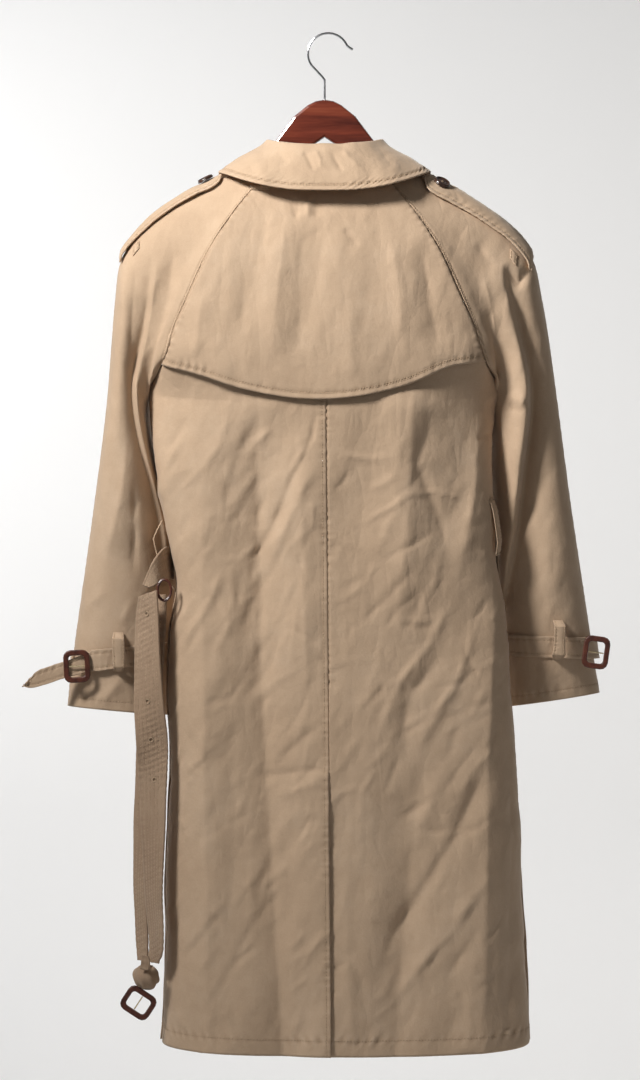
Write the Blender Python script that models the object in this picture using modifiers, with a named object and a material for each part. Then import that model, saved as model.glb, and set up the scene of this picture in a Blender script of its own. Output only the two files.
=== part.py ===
"""A trench coat that hangs on a wooden hanger, seen with its back towards -Y. Metres, +Z up.

The origin is the inside top of the hanger's hook. The coat's own points are given from the hanger's
middle line, and an empty shifts them so that the hook's loop is centred over the origin.
"""

from bisect import bisect_left
from collections import namedtuple
from functools import lru_cache, partial
from math import cos, exp, pi, radians, sin

import bpy
import numpy as np
from mathutils import Matrix, Vector

# ---- Driving dimensions ----
HOOK_SHIFT = 0.0045
CLOTH = 0.0012
STRAP_CLOTH = 0.0020
BELT_CLOTH = 0.0026
SEAM_SHIFT = 0.00018
UNDERARM_SHIFT = 0.0008
UNDERARM_REACH = 0.025
LAYER_GAP = 0.0006
UNDERARM_Z = -0.4475
SIDE_HEM_Z = -1.256
CENTRE_HEM_Z = -1.269
VENT_TOP_Z = -0.916
VENT_STEP = 0.008
VENT_LAP = 0.036
VENT_DROP = 0.0036
BREAK_Z = -0.420
LAP_X = 0.085
NECK_V = 0.8
EPAULETTE_WIDTH = 0.045
EPAULETTE_LIFT = 0.0016
EPAULETTE_CROWN = 0.0022
CUFF_STRAP_WIDTH = 0.027
BUTTON_RADIUS = 0.0105
HOOK_WIRE = 0.0015
PRONG_RADIUS = 0.0009
BUTTON_U = 1.90
BUCKLE_WINDOW = 0.020
CUFF_BUCKLE_LIFT = 0.0165
BACK, FRONT = -1, 1
LEFT, RIGHT = -1, 1
# How far each shoulder strap has slipped round from the shoulder line, towards the back.
EPAULETTE_SLIP = {LEFT: -0.010, RIGHT: -0.024}

# The raglan seam, from the neck (level 0) to the underarm (level 1), on one side.
Seam = namedtuple("Seam", "level x y_back y_front z")
RAGLAN = [
    Seam(0.00, 0.064, -0.036, 0.036, -0.168),
    Seam(0.12, 0.090, -0.052, 0.050, -0.1965),
    Seam(0.27, 0.116, -0.064, 0.058, -0.2295),
    Seam(0.43, 0.143, -0.072, 0.062, -0.272),
    Seam(0.62, 0.169, -0.075, 0.063, -0.3285),
    Seam(0.75, 0.186, -0.070, 0.058, -0.3675),
    Seam(0.90, 0.2005, -0.054, 0.040, -0.412),
    Seam(1.00, 0.2215, 0.000, 0.000, UNDERARM_Z),
]
NECK_SIDE = Vector((0.084, 0.0, -0.158))

# The middle of the back and of the front between the two raglan seams.
Middle = namedtuple("Middle", "level back front z_back z_front")
MIDDLES = [
    Middle(0.00, 0.046, 0.050, -0.178, -0.205),
    Middle(0.27, 0.076, 0.066, -0.246, -0.250),
    Middle(0.62, 0.087, 0.074, -0.342, -0.342),
    Middle(1.00, 0.086, 0.076, -0.462, -0.462),
]

# The body below the underarm: its two side edges and its depth to the back and to the front.
Girth = namedtuple("Girth", "z left right y_side back front")
GIRTHS = [
    Girth(UNDERARM_Z, -0.2215, 0.2215, 0.000, 0.086, 0.076),
    Girth(-0.464, -0.2165, 0.2090, -0.004, 0.085, 0.075),
    Girth(-0.482, -0.2145, 0.2060, -0.006, 0.084, 0.074),
    Girth(-0.512, -0.2130, 0.2030, -0.008, 0.083, 0.073),
    Girth(-0.565, -0.2065, 0.2075, -0.010, 0.081, 0.070),
    Girth(-0.632, -0.1955, 0.2155, -0.012, 0.080, 0.068),
    Girth(-0.685, -0.1835, 0.2190, -0.012, 0.080, 0.068),
    Girth(-0.745, -0.1920, 0.2250, -0.012, 0.081, 0.070),
    Girth(-0.830, -0.1965, 0.2320, -0.010, 0.083, 0.072),
    Girth(-0.905, -0.1915, 0.2400, -0.006, 0.085, 0.075),
    Girth(-1.015, -0.1970, 0.2440, 0.000, 0.088, 0.080),
    Girth(-1.145, -0.1985, 0.2510, 0.000, 0.092, 0.085),
    Girth(SIDE_HEM_Z, -0.2035, 0.2570, 0.000, 0.096, 0.088),
]

# The sleeve's rings below the raglan seam. The outer point is the shoulder line, then the elbow's side.
Ring = namedtuple("Ring", "outer_x outer_y outer_z inner_x inner_y inner_z back front")
RINGS = {
    LEFT: [
        Ring(0.112, 0.000, -0.1725, 0.2250, 0.008, -0.4550, 0.070, 0.060),
        Ring(0.150, 0.000, -0.1905, 0.2200, 0.020, -0.4640, 0.072, 0.056),
        Ring(0.193, 0.000, -0.2150, 0.2170, 0.031, -0.4740, 0.073, 0.050),
        Ring(0.231, 0.000, -0.2480, 0.2140, 0.040, -0.4860, 0.074, 0.045),
        Ring(0.2545, 0.000, -0.284, 0.2110, 0.046, -0.5000, 0.074, 0.041),
        Ring(0.2620, 0.002, -0.335, 0.2070, 0.049, -0.5200, 0.074, 0.039),
        Ring(0.2670, 0.004, -0.395, 0.2020, 0.051, -0.5480, 0.074, 0.037),
        Ring(0.2730, 0.008, -0.465, 0.1930, 0.053, -0.5900, 0.072, 0.036),
        Ring(0.2850, 0.016, -0.560, 0.1840, 0.056, -0.6550, 0.066, 0.034),
        Ring(0.3000, 0.028, -0.665, 0.1840, 0.057, -0.7350, 0.060, 0.034),
        Ring(0.3175, 0.038, -0.787, 0.1920, 0.056, -0.8120, 0.055, 0.036),
        Ring(0.3235, 0.042, -0.840, 0.1955, 0.055, -0.8520, 0.054, 0.036),
    ],
    RIGHT: [
        Ring(0.112, 0.000, -0.1725, 0.2238, 0.008, -0.4550, 0.070, 0.060),
        Ring(0.150, 0.000, -0.1905, 0.2175, 0.020, -0.4640, 0.072, 0.056),
        Ring(0.193, 0.000, -0.2150, 0.2080, 0.034, -0.4740, 0.073, 0.048),
        Ring(0.2330, 0.000, -0.247, 0.2020, 0.043, -0.4860, 0.074, 0.043),
        Ring(0.2600, 0.000, -0.282, 0.1985, 0.048, -0.5000, 0.074, 0.040),
        Ring(0.2715, 0.002, -0.330, 0.2000, 0.050, -0.5200, 0.074, 0.039),
        Ring(0.2815, 0.005, -0.388, 0.2000, 0.053, -0.5480, 0.074, 0.038),
        Ring(0.2935, 0.012, -0.474, 0.2030, 0.056, -0.5900, 0.072, 0.037),
        Ring(0.3080, 0.026, -0.580, 0.2090, 0.059, -0.6500, 0.066, 0.038),
        Ring(0.3260, 0.042, -0.695, 0.2190, 0.062, -0.7350, 0.058, 0.038),
        Ring(0.3410, 0.054, -0.790, 0.2275, 0.065, -0.8100, 0.053, 0.038),
        Ring(0.3470, 0.058, -0.824, 0.2285, 0.066, -0.8420, 0.052, 0.038),
    ],
}
# Where each sleeve's ring rows lie, counted in rings from the raglan seam.
SLEEVE_ROWS = [0, 1, 2, 3, 4, 5, 6, 7, 8, 8.5, 9, 9.5, 10, 10.5, 11, 12]

# The long fold that runs down the back of each sleeve: a trough beside the inner part.
Trough = namedtuple("Trough", "z left_x right_x depth")
SLEEVE_TROUGH = [
    Trough(-0.290, 0.236, 0.232, 0.000),
    Trough(-0.370, 0.238, 0.250, 0.012),
    Trough(-0.450, 0.240, 0.264, 0.020),
    Trough(-0.530, 0.238, 0.264, 0.018),
    Trough(-0.620, 0.236, 0.254, 0.012),
    Trough(-0.700, 0.234, 0.246, 0.006),
    Trough(-0.780, 0.234, 0.242, 0.000),
]
TROUGH_WIDTH = 0.017
# How far the inner part of the sleeve swings clear of the body's side.
UNDERARM_CLEAR = 0.016
CLEAR_RINGS = 9
# The rings above this one still take some of their shape from the raglan seam.
SEAM_REACH = 4

# The body's largest folds: soft ridges (or troughs, where the depth is negative) from top to bottom.
Fold = namedtuple("Fold", "face top_x top_z bottom_x bottom_z width depth")
FOLDS = [
    Fold(BACK, -0.130, -0.620, -0.150, -1.280, 0.040, 0.007),
    Fold(BACK, -0.060, -0.560, -0.085, -1.280, 0.035, -0.005),
    Fold(BACK, 0.110, -0.600, 0.130, -1.280, 0.045, 0.007),
    Fold(BACK, 0.050, -0.700, 0.062, -1.280, 0.030, -0.004),
    Fold(FRONT, -0.150, -0.600, -0.165, -1.280, 0.040, 0.006),
    Fold(FRONT, 0.150, -0.600, 0.170, -1.280, 0.040, 0.006),
]

# The lower edge of the storm shield across the back.
EdgePoint = namedtuple("EdgePoint", "x z")
SHIELD_EDGE = [
    EdgePoint(-0.2005, -0.414),
    EdgePoint(-0.1505, -0.4275),
    EdgePoint(-0.0980, -0.445),
    EdgePoint(-0.0365, -0.457),
    EdgePoint(0.0230, -0.457),
    EdgePoint(0.0995, -0.440),
    EdgePoint(0.1570, -0.416),
    EdgePoint(0.2000, -0.410),
]
SHIELD_LIFT = 0.006

# The collar's roll line and lower edge, from the middle of the back to the front point, on one side.
CollarLine = namedtuple("CollarLine", "at roll_x roll_y roll_z edge_x edge_y edge_z seam_x seam_y seam_z")
COLLAR = [
    CollarLine(0.00, 0.000, -0.052, -0.1430, 0.000, -0.086, -0.2006, 0.000, -0.040, -0.1740),
    CollarLine(0.25, 0.036, -0.048, -0.1415, 0.048, -0.084, -0.1985, 0.034, -0.036, -0.1700),
    CollarLine(0.45, 0.060, -0.030, -0.1380, 0.092, -0.072, -0.1890, 0.061, -0.025, -0.1600),
    CollarLine(0.60, 0.0725, -0.004, -0.1345, 0.1280, -0.026, -0.1745, 0.0785, -0.003, -0.1500),
    CollarLine(0.72, 0.0720, 0.014, -0.1390, 0.1310, 0.012, -0.1745, 0.0730, 0.014, -0.1550),
    CollarLine(0.84, 0.0640, 0.038, -0.1560, 0.1350, 0.058, -0.2000, 0.0560, 0.036, -0.1640),
    CollarLine(1.00, 0.050, 0.060, -0.1850, 0.1220, 0.094, -0.2640, 0.0440, 0.056, -0.1880),
]

# The hanger's wooden yoke, from its middle to its end.
YokeRow = namedtuple("YokeRow", "x top bottom")
YOKE = [
    YokeRow(0.0000, -0.0820, -0.1290),
    YokeRow(0.0110, -0.0838, -0.1365),
    YokeRow(0.0210, -0.0888, -0.1415),
    YokeRow(0.0385, -0.1030, -0.1530),
    YokeRow(0.0630, -0.1355, -0.1740),
    YokeRow(0.0740, -0.1545, -0.1830),
    YokeRow(0.0850, -0.1680, -0.1910),
    YokeRow(0.1120, -0.1850, -0.2080),
    YokeRow(0.1450, -0.1985, -0.2240),
    YokeRow(0.1780, -0.2150, -0.2380),
    YokeRow(0.2050, -0.2330, -0.2480),
]
YOKE_HALF_DEPTH = 0.0075
YOKE_EDGE = 0.0030

# Hook: a loop on a straight stem.
LOOP_RADIUS = 0.0255
LOOP_CENTRE = Vector((HOOK_SHIFT, 0.0, HOOK_WIRE - LOOP_RADIUS))
STEM_FOOT_Z = -0.0817
STEM_TOP_Z = -0.0570


# ---- Curves and surfaces ----
class Curve:
    """A smooth curve through values at rising knots."""

    def __init__(self, knots, values):
        pairs = sorted(zip(knots, values))
        self.knots = [pair[0] for pair in pairs]
        self.values = [pair[1] for pair in pairs]
        self.slopes = [float(slope) for slope in np.gradient(self.values, self.knots)]

    def at(self, place):
        index = min(max(bisect_left(self.knots, place) - 1, 0), len(self.knots) - 2)
        step = self.knots[index + 1] - self.knots[index]
        part = min(max((place - self.knots[index]) / step, 0.0), 1.0)
        square, cube = part * part, part**3
        here, after = self.values[index], self.values[index + 1]
        value = (2 * cube - 3 * square + 1) * here + (3 * square - 2 * cube) * after
        turn = (cube - 2 * square + part) * self.slopes[index] + (cube - square) * self.slopes[index + 1]
        return value + step * turn


curves = {}


def column(table, key, name, at):
    """One column of a table, read smoothly at a value of its key column."""
    label = (type(table[0]).__name__, name)
    if label not in curves:
        curves[label] = Curve([getattr(row, key) for row in table], [getattr(row, name) for row in table])
    return curves[label].at(at)


def step_between(low, high, value):
    part = min(max((value - low) / (high - low), 0.0), 1.0)
    return part * part * (3 - 2 * part)


def solve(function, low, high):
    """Where a function that rises or falls steadily crosses zero."""
    rising = function(high) > function(low)
    for _ in range(26):
        middle = (low + high) / 2
        if (function(middle) < 0) == rising:
            low = middle
        else:
            high = middle
    return (low + high) / 2


def raglan_point(face, side, level):
    y_name = "y_back" if face == BACK else "y_front"
    x = column(RAGLAN, "level", "x", level)
    y = column(RAGLAN, "level", y_name, level)
    return Vector((side * x, y, column(RAGLAN, "level", "z", level)))


def side_edge(face, side, level):
    """The body's left or right edge: the raglan seam down to level 1, then the side seam to level 2."""
    if level <= 1:
        return raglan_point(face, side, level)
    z = UNDERARM_Z + (level - 1) * (SIDE_HEM_Z - UNDERARM_Z)
    x = column(GIRTHS, "z", "left" if side == LEFT else "right", z)
    return Vector((x, column(GIRTHS, "z", "y_side", z), z))


def middle_point(face, level):
    """How far the middle stands out, as a signed y, and its height."""
    name = "back" if face == BACK else "front"
    if level <= 1:
        z = column(MIDDLES, "level", "z_" + name, level)
        return face * column(MIDDLES, "level", name, level), z
    side_z = UNDERARM_Z + (level - 1) * (SIDE_HEM_Z - UNDERARM_Z)
    end = MIDDLES[-1].z_back
    z = end + (level - 1) * (CENTRE_HEM_Z - end)
    return face * column(GIRTHS, "z", name, side_z), z


def fold_height(face, x, z):
    height = 0.0
    for fold in FOLDS:
        if fold.face != face or z > fold.top_z:
            continue
        down = min((fold.top_z - z) / (fold.top_z - fold.bottom_z), 1.0)
        line = fold.top_x + down * (fold.bottom_x - fold.top_x)
        height += fold.depth * sin(down * pi / 2) ** 1.5 * exp(-(((x - line) / fold.width) ** 2))
    return height


def body_point(face, across, level):
    """A point of the coat's body: across runs from -1 at the left edge to 1 at the right edge."""
    left, right = side_edge(face, LEFT, level), side_edge(face, RIGHT, level)
    middle_y, middle_z = middle_point(face, level)
    tube = step_between(0.5, 1.12, level)
    run = (1 - tube) * across + tube * sin(across * pi / 2)
    squareness = 0.90 - 0.28 * step_between(1.0, 1.16, level)
    swell = (1 - tube) * (1 - abs(across) ** 2.2) + tube * max(cos(across * pi / 2), 0.0) ** squareness
    point = left.lerp(right, (run + 1) / 2)
    point.y += swell * (middle_y - (left.y + right.y) / 2)
    point.z += (1 - across * across) * (middle_z - (left.z + right.z) / 2)
    point.y += face * fold_height(face, point.x, point.z) * min(swell * 2, 1.0)
    return point


def across_at(face, level, x):
    return solve(lambda across: body_point(face, across, level).x - x, -1.0, 1.0)


def body_at(face, x, z):
    """The across and level of the point of the body that has this x and z."""
    level, across = 1.0, 0.0
    for _ in range(12):
        across = across_at(face, level, x)
        here = body_point(face, across, level).z
        slope = (body_point(face, across, level + 0.01).z - here) / 0.01
        level = min(max(level + (z - here) / slope, 0.0), 2.0)
    return across, level


def sleeve_v_level(v):
    """The raglan level that a place around the sleeve's top starts from."""
    part = min(v / NECK_V, 1.0)
    return 1 - (0.5 * part + 0.25 * (1 - cos(pi * part)))


def sleeve_ring_point(side, index, v):
    """One point of one ring: v is 0 at the underarm, 1 at the outer line, 2 at the underarm again."""
    face = BACK if v <= 1 else FRONT
    turn = v if v <= 1 else 2 - v
    if index == 0:
        if turn <= NECK_V:
            return raglan_point(face, side, sleeve_v_level(turn))
        neck = raglan_point(face, side, 0.0)
        top = Vector((side * NECK_SIDE.x, NECK_SIDE.y, NECK_SIDE.z))
        part = (turn - NECK_V) / (1 - NECK_V)
        return neck.lerp(top, part) + Vector((side * 0.004 * sin(pi * part), 0, 0.004 * sin(pi * part)))
    ring = RINGS[side][index - 1]
    part = (1 - cos(pi * turn)) / 2
    depth = ring.back if face == BACK else ring.front
    inner = Vector((side * ring.inner_x, ring.inner_y, ring.inner_z))
    outer = Vector((side * ring.outer_x, ring.outer_y, ring.outer_z))
    point = inner.lerp(outer, part)
    swing = max(sin(pi * turn), 0.0)
    point.y += face * depth * swing**0.88
    if index < SEAM_REACH:
        seam = sleeve_ring_point(side, 0, v)
        seam_inner, seam_outer = sleeve_ring_point(side, 0, 0.0), sleeve_ring_point(side, 0, 1.0)
        height = (seam.z - seam_inner.z) / (seam_outer.z - seam_inner.z)
        moved = seam + (inner - seam_inner).lerp(outer - seam_outer, height)
        point = moved.lerp(point, index / SEAM_REACH)
    near_body = sin(pi * min(index, CLEAR_RINGS) / CLEAR_RINGS) ** 0.5
    point.x += side * UNDERARM_CLEAR * swing**0.5 * (1 - part) * near_body
    return point


@lru_cache(maxsize=None)
def sleeve_line(side, v):
    """The line that runs down the sleeve at one place around it, as three curves for x, y and z."""
    indices = range(len(RINGS[side]) + 1)
    points = [sleeve_ring_point(side, index, v) for index in indices]
    return [Curve(indices, [point[axis] for point in points]) for axis in range(3)]


def sleeve_point(side, u, v):
    """A point of the sleeve: u counts rings from the raglan seam to the cuff."""
    v = v % 2
    point = Vector([curve.at(u) for curve in sleeve_line(side, round(v, 7))])
    if 0 < v < 1:
        x_name = "left_x" if side == LEFT else "right_x"
        line = column(SLEEVE_TROUGH, "z", x_name, point.z)
        depth = column(SLEEVE_TROUGH, "z", "depth", point.z)
        away = (abs(point.x) - line) / TROUGH_WIDTH
        point.y += max(depth, 0.0) * exp(-away * away) * sin(pi * v) ** 0.5
    return point


def sleeve_u_at(side, v, z):
    return solve(lambda u: sleeve_point(side, u, v).z - z, 4.0, float(len(RINGS[side])))


def normal_of(surface, a, b, outward):
    """The unit normal of a surface at (a, b), turned towards the outward direction."""
    small = 0.004
    along = surface(a + small, b) - surface(a - small, b)
    around = surface(a, b + small) - surface(a, b - small)
    normal = along.cross(around).normalized()
    return normal if normal.dot(outward) > 0 else -normal


def body_lifted(face, across, level, lift):
    """A body point moved out by a lift."""
    across = min(max(across, -0.995), 0.995)
    level = min(max(level, 0.005), 1.995)
    outward = Vector((across * 0.3, face, 0))
    normal = normal_of(lambda a, b: body_point(face, a, b), across, level, outward)
    return body_point(face, across, level) + normal * lift


def sleeve_lifted(side, u, v, lift):
    """A sleeve point moved out by a lift."""
    u = min(max(u, 0.02), len(RINGS[side]) - 0.02)
    ring_middle = (sleeve_point(side, u, 0.0) + sleeve_point(side, u, 1.0)) / 2
    here = sleeve_point(side, u, v)
    normal = normal_of(lambda a, b: sleeve_point(side, a, b), u, v, here - ring_middle)
    return here + normal * lift


# ---- Objects ----
def clear_scene():
    for existing in list(bpy.data.objects):
        bpy.data.objects.remove(existing)


def material(name, colour, roughness, metallic=0.0):
    existing = bpy.data.materials.get(name)
    if existing:
        return existing
    made = bpy.data.materials.new(name)
    made.use_nodes = True
    shader = made.node_tree.nodes["Principled BSDF"]
    shader.inputs["Base Color"].default_value = (*colour, 1)
    shader.inputs["Roughness"].default_value = roughness
    shader.inputs["Metallic"].default_value = metallic
    return made


def gabardine():
    return material("gabardine", (0.53, 0.38, 0.24), 0.85)


def leather():
    return material("leather", (0.10, 0.03, 0.015), 0.5)


def horn():
    return material("button horn", (0.03, 0.018, 0.012), 0.35)


def mahogany():
    return material("mahogany", (0.13, 0.022, 0.01), 0.3)


def steel():
    return material("steel", (0.75, 0.75, 0.76), 0.25, 1.0)


def brass():
    return material("brass", (0.70, 0.55, 0.30), 0.35, 1.0)


def add_object(name, data, finish, smooth=True):
    made = bpy.data.objects.new(name, data)
    data.materials.append(finish)
    if smooth and isinstance(data, bpy.types.Mesh):
        data.shade_smooth()
    coat.objects.link(made)
    made.parent = hang_point
    return made


def grid_faces(rows, columns, closed=False):
    faces = []
    last = columns if closed else columns - 1
    for r in range(rows - 1):
        for c in range(last):
            d = (c + 1) % columns
            faces.append((r * columns + c, (r + 1) * columns + c, (r + 1) * columns + d, r * columns + d))
    return faces


def sheet(name, grid, finish, thickness, flip=False, closed=False):
    """A strip or patch of cloth: an open surface that Solidify thickens outwards."""
    rows, columns = len(grid), len(grid[0])
    faces = grid_faces(rows, columns, closed)
    if flip:
        faces = [face[::-1] for face in faces]
    data = bpy.data.meshes.new(name)
    data.from_pydata([point for row in grid for point in row], [], faces)
    made = add_object(name, data, finish)
    thicken = made.modifiers.new("Thickness", "SOLIDIFY")
    thicken.thickness = thickness
    thicken.offset = 1.0
    return made


def turned(name, profile, steps, finish, place):
    """A turned piece about Z from (radius, height) points, listed from the top of its outer side down."""
    data = bpy.data.meshes.new(name)
    points = [(radius, 0, height) for radius, height in profile]
    data.from_pydata(points, [(i, i + 1) for i in range(len(points) - 1)], [])
    made = add_object(name, data, finish)
    screw = made.modifiers.new("Turn", "SCREW")
    screw.steps = steps
    screw.render_steps = steps
    screw.use_merge_vertices = True
    screw.merge_threshold = 0.00005
    made.matrix_local = place
    return made


def wire(name, points, radius, finish, resolution=2):
    data = bpy.data.curves.new(name, "CURVE")
    data.dimensions = "3D"
    data.bevel_depth = radius
    data.bevel_resolution = resolution
    data.use_fill_caps = True
    spline = data.splines.new("POLY")
    spline.points.add(len(points) - 1)
    for spot, point in zip(spline.points, points):
        spot.co = (*point, 1)
    return add_object(name, data, finish)


def outline(name, loops, half_depth, edge, finish, place, resolution=1):
    """A flat outline with rounded edges: its loops are closed lists of (x, y) points."""
    data = bpy.data.curves.new(name, "CURVE")
    data.dimensions = "2D"
    data.fill_mode = "BOTH"
    data.extrude = half_depth - edge
    data.bevel_depth = edge
    data.offset = -edge
    data.bevel_resolution = resolution
    for loop in loops:
        spline = data.splines.new("POLY")
        spline.points.add(len(loop) - 1)
        for spot, point in zip(spline.points, loop):
            spot.co = (point[0], point[1], 0, 1)
        spline.use_cyclic_u = True
    made = add_object(name, data, finish)
    made.matrix_local = place
    return made


def rounded_rectangle(width, height, radius, corner_steps=3):
    points = []
    for corner, (sx, sy) in enumerate([(1, 1), (-1, 1), (-1, -1), (1, -1)]):
        for step in range(corner_steps + 1):
            angle = radians(90 * corner + 90 * step / corner_steps)
            x = sx * (width / 2 - radius) + radius * cos(angle)
            points.append((x, sy * (height / 2 - radius) + radius * sin(angle)))
    return points


def facing(position, normal, up):
    """A placement whose Z follows the normal and whose Y leans towards up."""
    z_axis = Vector(normal).normalized()
    x_axis = Vector(up).cross(z_axis).normalized()
    y_axis = z_axis.cross(x_axis)
    turn = Matrix((x_axis, y_axis, z_axis)).transposed().to_4x4()
    return Matrix.Translation(position) @ turn


# ---- The sewn shell: body panels and sleeves share their normals along the seams ----
def key_of(point):
    return tuple(round(value * 2e4) for value in point)


def shell_panels(panels):
    """Makes each panel a wall. Panels that meet at a seam share its direction, and stop a gap apart."""
    total = {}
    for grid, flip in panels.values():
        for r in range(len(grid) - 1):
            for c in range(len(grid[0]) - 1):
                corners = grid[r][c], grid[r + 1][c], grid[r + 1][c + 1], grid[r][c + 1]
                normal = (corners[2] - corners[0]).cross(corners[3] - corners[1])
                if flip:
                    normal = -normal
                for corner in corners:
                    total.setdefault(key_of(corner), Vector((0, 0, 0)))
                    total[key_of(corner)] += normal.normalized()
    for name, (grid, flip) in panels.items():
        add_panel(name, grid, flip, total)


def seam_shift_at(point):
    """How far a panel stops short of a seam: more where the four seams meet under the arm."""
    away = (point - raglan_point(BACK, RIGHT if point.x > 0 else LEFT, 1.0)).length
    return SEAM_SHIFT + UNDERARM_SHIFT * (1 - step_between(0.004, 0.040, away))


def halves_of(face, turned_over):
    """The two triangles of a four-sided face, split so that both sides of the wall bend alike."""
    a, b, c, d = face
    if turned_over:
        return (a, b, d), (b, c, d)
    return (a, b, c), (a, c, d)


def under_arm(point):
    """True in the narrow fold under the arm, where the four seams meet."""
    corner = raglan_point(BACK, RIGHT if point.x > 0 else LEFT, 1.0)
    return (point - corner).length < UNDERARM_REACH


def add_panel(name, grid, flip, normals):
    rows, columns = len(grid), len(grid[0])
    outer, inner = [], []
    for r in range(rows):
        for c in range(columns):
            point = grid[r][c]
            normal = normals[key_of(point)].normalized()
            shift = Vector((0, 0, 0))
            for edge, near in (
                (r == 0, (1, c)),
                (r == rows - 1, (rows - 2, c)),
                (c == 0, (r, 1)),
                (c == columns - 1, (r, columns - 2)),
            ):
                if edge:
                    inwards = grid[near[0]][near[1]] - point
                    inwards -= normal * inwards.dot(normal)
                    shift += inwards.normalized() * seam_shift_at(point)
            outer.append(point + shift)
            inner.append(point + shift - normal * CLOTH)
    count = rows * columns
    faces = []
    for face in grid_faces(rows, columns):
        parts = [face] if under_arm(outer[face[0]]) else halves_of(face, flip)
        for part in parts:
            faces.append(part)
            faces.append(tuple(index + count for index in part[::-1]))
    rim = [c for c in range(columns)]
    rim += [r * columns + columns - 1 for r in range(1, rows)]
    rim += [(rows - 1) * columns + c for c in range(columns - 2, -1, -1)]
    rim += [r * columns for r in range(rows - 2, 0, -1)]
    for here, after in zip(rim, rim[1:] + rim[:1]):
        faces.append((here, after, after + count, here + count))
    if flip:
        faces = [face[::-1] for face in faces]
    data = bpy.data.meshes.new(name)
    data.from_pydata(outer + inner, [], faces)
    add_object(name, data, gabardine())


def vent_edge_x(z):
    return 0.0056 + 0.0024 * step_between(-0.92, -1.27, z) if z < VENT_TOP_Z else centre_seam_x(z)


def centre_seam_x(z):
    return 0.002 + 0.004 * min(max((-0.46 - z) / 0.45, 0.0), 1.0)


def body_levels():
    """The levels of the body's rows: those of the sleeve's first ring, then even ones to the hem."""
    upper = [sleeve_v_level(NECK_V * (8 - k) / 8) for k in range(9)]
    lower_z = [-0.466, -0.500, -0.550, -0.615, -0.685, -0.755, -0.835, -0.904, -0.912, -0.920, -0.990]
    lower_z += [-1.060, -1.130, -1.200, SIDE_HEM_Z]
    return upper + [1 + (z - UNDERARM_Z) / (SIDE_HEM_Z - UNDERARM_Z) for z in lower_z]


def back_panel(side):
    """The back from the side to the centre seam. Its vent edge laps over or under the other one."""
    grid = []
    for level in body_levels():
        z = middle_point(BACK, level)[1]
        seam = across_at(BACK, level, centre_seam_x(z))
        spread = [-1 + (seam + 1) * k / 7 for k in range(8)] if side == LEFT else []
        if side == RIGHT:
            spread = [seam] + [seam + (1 - seam) * k / 8 for k in (0.4, 1, 2, 3.2, 4.4, 5.6, 6.8, 8)]
        row = [body_point(BACK, across, level) for across in spread]
        if z < VENT_TOP_Z + 0.0005:
            inside = Vector((0, VENT_DROP, 0))
            if side == LEFT:
                row[-1] = body_point(BACK, across_at(BACK, level, vent_edge_x(z)), level)
            else:
                lapped = z < VENT_TOP_Z - VENT_STEP / 2
                x = centre_seam_x(z) + (0.0045 if not lapped else -VENT_LAP)
                row[0] = body_point(BACK, across_at(BACK, level, x), level) + inside
                row[1] = body_point(BACK, across_at(BACK, level, 0.0125), level) + inside
        grid.append(row)
    return grid


def roll_x(z):
    """The x of the left front's edge: the roll line above the break, then the lapped edge."""
    part = min(max((z - BREAK_Z) / (-0.185 - BREAK_Z), 0.0), 1.0)
    return LAP_X + part * (-0.046 - LAP_X)


def past_front_edge(side, level, across):
    """How far a place on the front is from that front's lapped edge."""
    point = body_point(FRONT, across, level)
    return side * point.x + roll_x(point.z)


def front_panel(side):
    """The front from the side to its lapped edge. The left one lies over the right one."""
    grid = []
    for level in body_levels():
        edge = solve(partial(past_front_edge, side, level), -1.0, 1.0)
        row = []
        for k in range(9):
            across = side + (edge - side) * k / 8
            point = body_point(FRONT, across, level)
            if side == LEFT:
                point.y += 0.0030 * step_between(-0.19, -0.11, point.x)
            row.append(point)
        grid.append(row)
    return grid


def sleeve_panel(side, face):
    steps = [k / 10 for k in range(11)]
    around = steps if face == BACK else [2 - step for step in steps]
    return [[sleeve_point(side, u, v) for v in around] for u in SLEEVE_ROWS]


def add_body_and_sleeves():
    shell_panels(
        {
            "back_left": (back_panel(LEFT), False),
            "back_right": (back_panel(RIGHT), False),
            "front_left": (front_panel(LEFT), True),
            "front_right": (front_panel(RIGHT), False),
            "sleeve_back_left": (sleeve_panel(LEFT, BACK), True),
            "sleeve_front_left": (sleeve_panel(LEFT, FRONT), False),
            "sleeve_back_right": (sleeve_panel(RIGHT, BACK), False),
            "sleeve_front_right": (sleeve_panel(RIGHT, FRONT), True),
        }
    )


def above_shield_edge(across, level):
    point = body_point(BACK, across, level)
    return point.z - column(SHIELD_EDGE, "x", "z", point.x)


def add_shield():
    """The flap across the upper back: sewn in at the neck and raglan seams, and loose below."""
    spread = [0.985 * (k / 8 - 1) for k in range(17)]
    grid = []
    rows = 9
    for r in range(rows + 1):
        down = r / rows
        row = []
        for across in spread:
            low = solve(partial(above_shield_edge, across), 0.3, 1.1)
            level = 0.035 + (low - 0.035) * down
            middle = 1 - across * across
            lift = LAYER_GAP + SHIELD_LIFT * down**2 * middle**0.5 + 0.0012 * middle * down
            row.append(body_lifted(BACK, across, level, lift))
        grid.append(row)
    sheet("storm_shield", grid, gabardine(), CLOTH)


# ---- Collar and lapels ----
def collar_line(at, names, side):
    x, y, z = (column(COLLAR, "at", name, at) for name in names)
    return Vector((side * x, y, z))


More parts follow.
